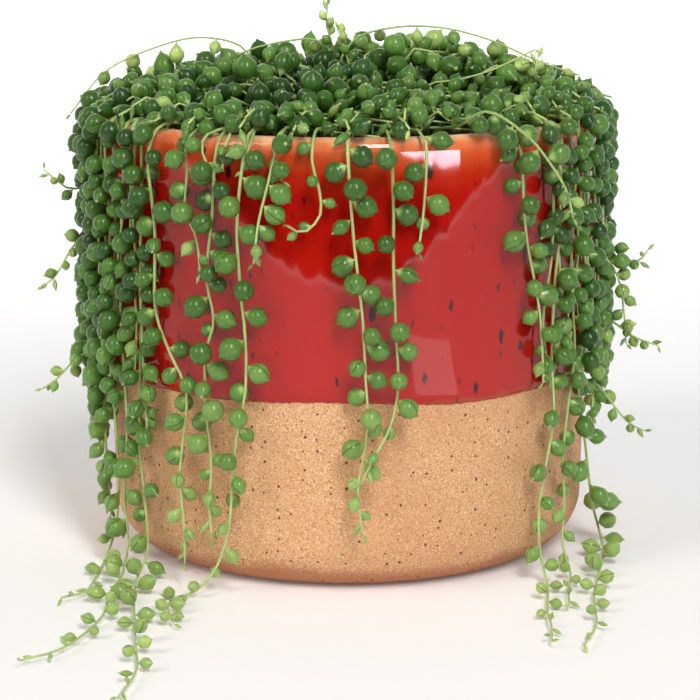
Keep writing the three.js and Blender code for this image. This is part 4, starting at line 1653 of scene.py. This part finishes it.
@dataclass
class Crown:
    """The crowded middle of the plant: upright sprigs, and runners that arch over them."""

    pot: PotForm
    grower: Grower
    templates: LeafTemplates
    form: CrownForm = field(default_factory=CrownForm)
    sprig_habit: LeafHabit = field(default_factory=lambda: LeafHabit(
        spacing=3.4 * MM, radius=3.8 * MM, bud_radius=2.5 * MM, growth=10 * MM, first=6 * MM, droop=0.05,
        tip_age=0.45, root_age=0.95, ageing=20 * MM, reach=0.0885, age_spread=0.17, smallest=0.62,
        lemons=0.3))
    young_habit: LeafHabit = field(default_factory=lambda: LeafHabit(
        spacing=3.4 * MM, radius=3.1 * MM, bud_radius=1.5 * MM, growth=16 * MM, first=6 * MM, droop=0.05,
        tip_age=0.15, root_age=0.7, ageing=24 * MM, reach=0.0885, age_spread=0.15, lemons=0.5))
    runner_habit: LeafHabit = field(default_factory=lambda: LeafHabit(
        spacing=13 * MM, radius=2.8 * MM, first=14 * MM, droop=1.2, root_age=0.35, reach=0.105, lemons=1.0,
        domed=False))
    tip_habit: LeafHabit = field(default_factory=lambda: LeafHabit(
        spacing=3.0 * MM, radius=2.2 * MM, bud_radius=1.4 * MM, growth=14 * MM, first=6 * MM, droop=-0.9,
        tip_age=0.1, root_age=0.6, ageing=20 * MM, reach=0.105, lemons=1.0, domed=False))

    def in_gap(self, azimuth: float, distance: float) -> bool:
        """Whether a sprig would stand on the bare stretch of soil behind the lip."""
        low, high = self.form.gap
        return low < azimuth % 360 < high and distance > self.form.gap_inner

    def keep_gap_clear(self) -> None:
        """Takes the air over the bare stretch of soil, so that no leaf of the crown fills it."""
        form = self.form
        for ring in form.gap_rings:
            for ball in range(form.gap_balls):
                azimuth = mix(*form.gap, ball / (form.gap_balls - 1))
                place = around_pot(azimuth, ring, self.pot.soil_top + form.gap_height)
                self.grower.thicket.take(place, form.gap_room)

    def sprig_routes(self) -> list[Route]:
        """Runs the sprigs of the mound, which leave the bare stretch of soil free.

        Returns:
            One route for each sprig.
        """
        form = self.form
        routes = []
        for index in range(form.sprigs):
            azimuth = index * GOLDEN_ANGLE
            distance = form.radius * math.sqrt((index + 0.5) / form.sprigs) * form.shrink
            if not self.in_gap(azimuth, distance):
                routes.append(self.sprig_route(index, azimuth, distance))
        return routes

    def sprig_route(self, index: int, azimuth: float, distance: float) -> Route:
        """Runs one sprig up through the mound and lets its tip lean over.

        Args:
            index: The sprig's number, for small differences.
            azimuth: Where it stands round the pot.
            distance: How far from the axis it stands.

        Returns:
            Its route.
        """
        form = self.form
        rise = form.top(distance) * mix(*form.sprig_rise, spread(index, 0.2))
        lean = form.lean * mix(*form.sprig_lean, spread(index, 0.7))
        turn_by = form.sprig_turn * (spread(index, 0.9) - 0.5) * 2
        ground = self.pot.soil_top
        root = around_pot(azimuth, distance * 0.86, ground - form.sprig_sink)
        knee = around_pot(azimuth, distance * 0.94, ground + rise * 0.6)
        top = around_pot(azimuth + turn_by * 0.3, distance + lean * 0.45, ground + rise * 0.98)
        tip = around_pot(azimuth + turn_by, distance + lean * 1.25, ground + rise * 0.86)
        return Route([root, knee, top, tip], samples=6)

    def rim_routes(self) -> list[Route]:
        """Runs short sprigs beside the lip, all round but for one bare stretch where the soil shows.

        Returns:
            One route for each sprig.
        """
        form, ground = self.form, self.pot.soil_top
        routes = []
        for index in range(form.rim_sprigs):
            azimuth = 360 * (index + 0.5) / form.rim_sprigs
            if self.in_gap(azimuth, form.rim_root):
                continue
            reach = mix(*form.rim_reach, spread(index, 0.6))
            rise = mix(*form.rim_rise, spread(index, 0.1))
            turn_by = form.rim_turn * (spread(index, 0.4) - 0.5)
            routes.append(Route([
                around_pot(azimuth, form.rim_root - 0.004, ground - form.sprig_sink),
                around_pot(azimuth, form.rim_root - 0.002, ground + 0.5 * rise),
                around_pot(azimuth + turn_by, form.rim_root + 0.4 * reach, ground + rise),
                around_pot(azimuth + 2 * turn_by, form.rim_root + reach, ground + 0.8 * rise),
            ], samples=6))
        return routes

    def long_routes(self, rows: Sequence[Sequence[tuple[float, float, float]]]) -> list[Route]:
        """Runs long stems through their points and marks them as taken.

        Args:
            rows: The points of each stem.

        Returns:
            One route for each stem.
        """
        routes = [Route([Vector(point) for point in points]) for points in rows]
        for route in routes:
            self.grower.thicket.take_stem(route)
        return routes

    def build(self, runners: Sequence[Route], tips: Sequence[Route], skins: Skins) -> Object:
        """Builds the mound as one piece.

        Args:
            runners: The routes of the runners.
            tips: The routes of the upright tips.
            skins: The leaf skin and the stem skin.

        Returns:
            The finished piece.
        """
        foliage = Foliage(self.templates)
        sprigs = self.sprig_routes() + self.rim_routes()
        self.keep_gap_clear()
        for route in (*runners, *tips):
            foliage.add_stem(Stem(route, thick=0.38 * MM, thin=0.27 * MM, old=0.4))
        for route in sprigs:
            foliage.add_stem(Stem(route, thick=0.5 * MM), step=5 * MM)
        for k, route in enumerate((*runners, *tips)):
            habit = self.runner_habit if k < len(runners) else self.tip_habit
            for leaf in self.grower.leaves(route, habit, RUNNER_SEED + k):
                foliage.add_leaf(leaf)
        for k, route in enumerate(sprigs):
            habit = self.young_habit if spread(k, 0.15) < self.form.young_share else self.sprig_habit
            for leaf in self.grower.leaves(route, habit, SPRIG_SEED + k):
                foliage.add_leaf(leaf)
        piece = foliage.build("crown_sprigs", *skins)
        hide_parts("crown")
        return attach(piece, BODY)


# Studio ----------------------------------------------------------------------------------------


# Corners on the floor of what the glaze mirrors as a window and as a bright sheet.
WINDOW_CORNERS = (
    (0.46, -1.15), (0.92, -0.83), (0.65, -0.56), (0.56, -0.64), (0.53, -0.70), (0.50, -0.69), (0.47, -0.755),
    (0.42, -0.77), (0.35, -0.83),
)
BRIGHT_CORNERS = ((0.175, -0.375), (0.27, -0.29), (0.20, -0.18), (0.125, -0.215))


@dataclass
class Studio:
    """Pale paper floor, soft area lights, and cards that are seen only as reflections in the glaze."""

    eye: tuple[float, float, float] = (0.00064, -0.800, 0.2279)
    pitch: float = 0.2062
    lens: float = 127.82
    floor_size: float = 12.0
    horizon_light: float = 0.78
    sky_light: float = 0.27
    haze_top: float = 0.30
    paper_half: float = 0.880
    paper_front: float = 0.512
    paper_power: float = 2.65
    paper_tear: float = 0.040
    paper_curl: float = 0.018
    paper_steps: int = 260

    def camera(self) -> Object:
        """Sets the camera at the photo's angle.

        Returns:
            The camera.
        """
        data = bpy.data.cameras.new("camera")
        data.lens = self.lens
        data.sensor_width = 36
        data.dof.use_dof = False
        made = bpy.data.objects.new("camera", data)
        made.location = self.eye
        made.rotation_euler = (math.pi / 2 - self.pitch, 0, 0)
        bpy.context.scene.collection.objects.link(made)
        bpy.context.scene.camera = made
        return made

    def light(self, name: str, place: tuple[float, float, float], size: tuple[float, float],
              watts: float, target: tuple[float, float, float] = (0, 0, 0.08), colour: str = "#ffffff"
              ) -> None:
        """Adds a rectangular area light that faces a target, which is the pot if none is named.

        Args:
            name: The light's name.
            place: Where it stands.
            size: Its width and height.
            watts: Its power.
            target: What it faces.
            colour: Its sRGB hex colour.
        """
        data = bpy.data.lights.new(name, "AREA")
        data.shape = "RECTANGLE"
        data.size, data.size_y = size
        data.energy = watts
        data.color = linear(colour)[:3]
        made = bpy.data.objects.new(name, data)
        made.location = place
        made.rotation_euler = (Vector(target) - Vector(place)).to_track_quat("-Z", "Y").to_euler()
        made.visible_camera = False
        bpy.context.scene.collection.objects.link(made)

    def sheet(self, name: str, corners: Sequence[tuple[float, float]], height: float,
              surface: StudioSurface, only_reflected: bool = False) -> Object:
        """Lays a flat sheet, which may show only as a reflection.

        Args:
            name: The sheet's name.
            corners: Its corners, seen from above.
            height: Its height.
            surface: Its finish.
            only_reflected: Whether only reflections see it.

        Returns:
            Nothing: the sheet is marked as part of the stage, and mark_backdrop gives nothing back.
        """
        mesh = bmesh.new()
        mesh.faces.new([mesh.verts.new((x, y, height)) for x, y in corners])
        bmesh.ops.recalc_face_normals(mesh, faces=mesh.faces)
        made = mesh_object(name, mesh, [surface.build()], smooth=False)
        if only_reflected:
            made.visible_camera = False
            made.visible_diffuse = False
            made.visible_shadow = False
            made.visible_transmission = False
        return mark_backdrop(made)

    def paper_edge(self) -> list[tuple[float, float]]:
        """Torn edge of the floor paper, a flattened oval round the front of the pot from left to right.

        Past it the glaze mirrors a dark bench, which makes the clear dark red patch in its middle.

        Returns:
            Places along the edge, seen from above.
        """
        edge = [(-self.paper_half, 1.0)]
        for k in range(self.paper_steps + 1):
            angle = math.pi * k / self.paper_steps
            across = -math.copysign(abs(math.cos(angle)) ** (2 / self.paper_power), math.cos(angle))
            ahead = -math.sin(angle) ** (2 / self.paper_power)
            place = Vector((self.paper_half * across, self.paper_front * ahead, 0))
            tear = noise.noise(place * per_metre(0.070)) + 0.5 * noise.noise(place * per_metre(0.018))
            torn = place * (1 + self.paper_tear * tear)
            edge.append((torn.x, torn.y))
        return [*edge, (self.paper_half, 1.0)]

    def build(self) -> None:
        """Sets the floor, the world, the lights and the reflected cards."""
        half = self.floor_size / 2
        self.sheet("floor", [(-half, -half), (half, -half), (half, half), (-half, half)], 0.0,
                   StudioSurface("paper_white", "#f6f6f6", glow=0.07, far_glow=0.45))
        edge = self.paper_edge()
        curl = [(x * (1 - self.paper_curl), y * (1 - self.paper_curl)) for x, y in reversed(edge)]
        self.sheet("reflected_paper_curl", [*edge, *curl], 0.5 * MM,
                   StudioSurface("paper_curl", "#ffffff", glow=1.5), only_reflected=True)
        bench = [*edge, (3.5, 1.0), (3.5, -3.5), (-3.5, -3.5), (-3.5, 1.0)]
        self.sheet("reflected_dark_bench", bench, 0.4 * MM, StudioSurface("bench_dark", "#0c0606"),
                   only_reflected=True)
        self.sheet("reflected_window", WINDOW_CORNERS, 0.8 * MM,
                   StudioSurface("window_glow", "#f1ebff", glow=24), only_reflected=True)
        self.sheet("reflected_bright_paper", BRIGHT_CORNERS, 0.6 * MM,
                   StudioSurface("paper_glow", "#fff0f0", glow=1.7), only_reflected=True)
        world = bpy.data.worlds.new("studio")
        world.use_nodes = True
        background = world.node_tree.nodes["Background"]
        background.inputs["Color"].default_value = linear("#ffffff")
        way = add_node(world.node_tree, "TexCoord", output="Generated")
        upward = add_node(world.node_tree, "SeparateXYZ", None, (way,), "Z")
        strength = add_node(world.node_tree, "MapRange", SMOOTH,
                            (upward, 0.0, self.haze_top, self.horizon_light, self.sky_light))
        world.node_tree.links.new(strength, background.inputs["Strength"])
        bpy.context.scene.world = world
        self.light("key", (0.35, -1.30, 1.25), (0.35, 0.95), 21)
        self.light("fill", (-1.2, -0.9, 1.1), (0.5, 0.9), 10, colour="#fff2e4")
        self.light("backdrop", (0, 1.9, 0.55), (4.4, 2.8), 36, target=(0, 1.9, 0))
        self.camera()


# Chosen points ---------------------------------------------------------------------------------

# Strands seen from the front, from the left round to the right.
CHOSEN_ROWS = (
    StrandRow("left_8", hang=(
        (-100, .137), (-100, .115), (-100, .092), (-99, .07), (-98, .05), (-97, .034),
    )),
    StrandRow("left_7", hang=(
        (-92, .137), (-92, .115), (-93, .095), (-92, .075), (-91, .06),
    ), twigs=(
        (.115, (-90, .114, .09), (-88, .117, .094), (-87, .121, .098)),
    )),
    StrandRow("left_6", hang=(
        (-84, .137), (-85, .115), (-85, .095), (-84, .075), (-82, .058), (-81, .046),
    ), twigs=(
        (.103, (-83, .097, .089), (-81, .088, .095), (-80, .085, .099)),
    )),
    StrandRow("left_5", hang=(
        (-77, .137), (-78, .112), (-77, .09), (-76, .07), (-75, .052), (-74, .036),
    ), twigs=(
        (.066, (-78, .061, .09), (-80, .055, .095), (-81, .051, .1)),
    )),
    StrandRow("left_4", hang=(
        (-70, .137), (-70, .112), (-70, .09), (-69, .068), (-68, .048), (-68, .03), (-67, .014),
    )),
    StrandRow("left_3", hang=(
        (-63, .137), (-64, .11), (-64, .085), (-63, .062), (-62, .042), (-62, .024), (-63, .009),
    ), trail=(
        (-.077, -.052), (-.078, -.066), (-.08, -.079), (-.086, -.084),
    )),
    StrandRow("left_2", hang=(
        (-56, .137), (-57, .11), (-57, .086), (-58, .064), (-57, .045), (-57, .023), (-57, .009),
    ), trail=(
        (-.07, -.058), (-.072, -.08), (-.072, -.101), (-.076, -.12), (-.082, -.134), (-.091, -.142),
    )),
    StrandRow("left_1", hang=(
        (-50, .137), (-51, .11), (-51, .085), (-51, .06), (-50, .04), (-50, .022), (-50, .008),
    ), trail=(
        (-.065, -.066), (-.064, -.088), (-.062, -.109), (-.06, -.13), (-.058, -.15), (-.061, -.172),
    )),
    StrandRow("front_1", hang=(
        (-44.5, .134), (-43, .11), (-43, .085), (-39, .073), (-35, .063), (-36, .047), (-37, .035),
        (-36, .02), (-36, .008),
    )),
    StrandRow("front_2", hang=(
        (-34, .138), (-34, .129), (-34.5, .117), (-32, .11), (-31, .099),
    )),
    StrandRow("front_3", hang=(
        (-27, .136), (-28, .118), (-29.5, .097), (-28, .085), (-30, .075), (-30, .057), (-29, .041),
        (-29.5, .027), (-29, .017),
    )),
    StrandRow("front_4", trail_spacing=7.5 * MM, leaf_radius=3.7 * MM, hang=(
        (-21, .134), (-22.5, .115), (-22, .097), (-21, .082), (-21, .065), (-23, .051), (-24, .038),
        (-25, .022), (-28, .009),
    ), trail=(
        (-.046, -.077), (-.052, -.084), (-.057, -.088),
    ), twigs=(
        (.002, (-31, .002, .104), (-28, .002, .112), (-25, .002, .12)),
    )),
    StrandRow("front_5", hang=(
        (-14, .138), (-15, .128, .089), (-17, .116, .089), (-18, .104, .089),
    )),
    StrandRow("front_6", leaf_radius=2.0 * MM, spacing=8.0 * MM, hang=(
        (-7, .134), (-5.5, .125), (-5.5, .118), (-9, .113), (-12, .115),
    )),
    StrandRow("front_7", hang=(
        (0, .137), (1, .114), (2, .1), (3, .086), (3.5, .07), (4, .057), (3, .045), (2, .036),
        (3, .022),
    )),
    StrandRow("front_8", spacing=8.0 * MM, hang=(
        (8.5, .138), (9, .12), (9, .106), (9.5, .085), (10, .065), (8, .055, .088), (5, .047, .09),
        (2.5, .039, .09),
    )),
    StrandRow("front_9", spacing=8.0 * MM, hang=(
        (15.5, .139), (15.5, .129), (15, .118), (14, .107),
    )),
    StrandRow("front_10", root=23, hang=(
        (30, .147, .082), (36, .14, .0895), (41, .132, .0905), (46, .122, .091), (48, .114, .091),
    )),
    StrandRow("front_11", hang=(
        (37, .135), (38, .12), (39, .108), (41, .097), (43, .085), (44, .073), (44.5, .063),
    )),
    StrandRow("right_1", hang=(
        (50, .137), (50, .112), (50, .09), (50, .07), (49, .05), (47, .034), (45, .02), (44, .008),
    ), trail=(
        (.061, -.072), (.06, -.085), (.059, -.098), (.059, -.112), (.058, -.125),
    )),
    StrandRow("right_2", hang=(
        (57, .137), (57, .112), (57, .09), (57, .07), (56, .052), (55, .036), (54, .022), (54, .009),
    ), trail=(
        (.069, -.06), (.067, -.076), (.066, -.092),
    )),
    StrandRow("right_3", hang=(
        (64, .137), (64, .112), (63, .09), (62, .07), (62, .052), (64, .038), (68, .027), (73, .016),
        (78, .007),
    ), trail=(
        (.082, -.032), (.077, -.064), (.074, -.084), (.072, -.111), (.067, -.128),
    )),
    StrandRow("right_4", hang=(
        (71, .137), (71, .112), (71, .09), (70, .07), (70, .054), (69, .042),
    ), twigs=(
        (.056, (73, .049, .088), (75, .042, .093), (76, .039, .098)),
    )),
    StrandRow("right_5", hang=(
        (78, .137), (78, .114), (78, .092), (78, .072), (77, .058),
    ), twigs=(
        (.096, (79, .088, .088), (79, .078, .09), (80, .066, .091)),
    )),
    StrandRow("right_6", hang=(
        (85, .137), (86, .115), (86, .095), (85, .076), (84, .062), (84, .05),
    ), twigs=(
        (.1, (84, .093, .089), (83, .092, .094), (82, .096, .097)),
        (.074, (84, .07, .089), (83, .067, .094), (82, .065, .101)),
    )),
    StrandRow("right_7", hang=(
        (93, .137), (93, .115), (93, .095), (93, .078), (92, .066),
    )),
    StrandRow("right_8", hang=(
        (101, .137), (101, .112), (101, .09), (100, .068), (99, .048), (99, .034),
    )),
)

# Runner stems over the crown, as in the CAD, and then the upright tips.
RUNNERS = (
    ((-.030, .002, .146), (-.033, 0, .159), (-.047, -.001, .163), (-.064, -.002, .159), (-.078, -.003, .152),
     (-.089, -.004, .139)),
    ((-.002, .003, .148), (-.008, .003, .161), (-.027, .004, .160), (-.043, .006, .154), (-.053, .007, .153),
     (-.059, .008, .157)),
    ((-.006, .002, .148), (.002, .001, .162), (.014, 0, .166), (.030, 0, .166), (.046, -.001, .162),
     (.062, -.001, .155), (.074, -.001, .151)),
    ((.020, -.018, .140), (.025, -.024, .150), (.034, -.028, .152), (.044, -.029, .155), (.053, -.028, .159),
     (.058, -.024, .161)),
)
UPRIGHT_TIPS = (
    ((-.004, .004, .150), (-.005, .003, .160), (-.007, .002, .167), (-.0065, .001, .173)),
    ((.002, -.004, .148), (0, -.005, .156), (-.002, -.006, .162), (-.003, -.006, .166)),
    ((.052, -.006, .138), (.056, -.008, .146), (.059, -.010, .152), (.060, -.010, .157)),
)

CURTAINS = (
    CurtainRule("curtain_left", -106, -47, 15, 0.0822, 0.045, 0.090),
    CurtainRule("curtain_right", 46, 106, 15, 0.0820, 0.050, 0.086),
    CurtainRule("rim_tufts", -33, -12, 4, 0.0850, 0.127, 0.133),
    CurtainRule("curtain_back", 108, 252, 22, 0.0822, 0.030, 0.095),
)


def main() -> None:
    """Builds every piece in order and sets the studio."""
    logging.basicConfig(level=logging.INFO, format="%(message)s")
    bpy.context.scene.view_settings.view_transform = "Standard"
    Studio().build()

    form = PotForm()
    pot = CoverPot(form)
    pieces = [pot.clay_body(BareStoneware().build()), pot.glaze(BreakingRedGlaze().build()),
              SoilPlug(form).build(PottingSoil().build())]

    skins = (PearlSkin().build(), StemSkin().build())
    templates = LeafTemplates()
    grower = Grower(Thicket(form))
    builder = StrandBuilder(templates, grower, form, skins)
    rows = [*CHOSEN_ROWS, *BackCurtain().rows()]
    routes = {row.name: (row, index, builder.routes(row, index)) for index, row in enumerate(rows)}
    mains = [route for _row, _index, (route, *_twigs) in routes.values()]
    curtains = []
    for base, rule in enumerate(CURTAINS):
        strands = [(row, CURTAIN_SEED + CURTAIN_STEP * base + lane, builder.branch_routes(row, mains))
                   for lane, row in enumerate(rule.rows())]
        curtains.append((rule.name, strands))
    crown = Crown(form, grower, templates)
    runners = crown.long_routes(RUNNERS)
    tips = crown.long_routes(UPRIGHT_TIPS)
    for row in rows:
        pieces.append(builder.piece(f"trail_{row.name}", [routes[row.name]], f"strand_{row.name}"))
    for name, strands in curtains:
        pieces.append(builder.piece(name, strands))
    pieces.append(crown.build(runners, tips, skins))
    templates.clear()

    for piece in pieces:
        LOG.info("%s: %d faces", piece.name, len(piece.data.polygons))
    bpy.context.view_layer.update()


if __name__ == "__main__":
    main()
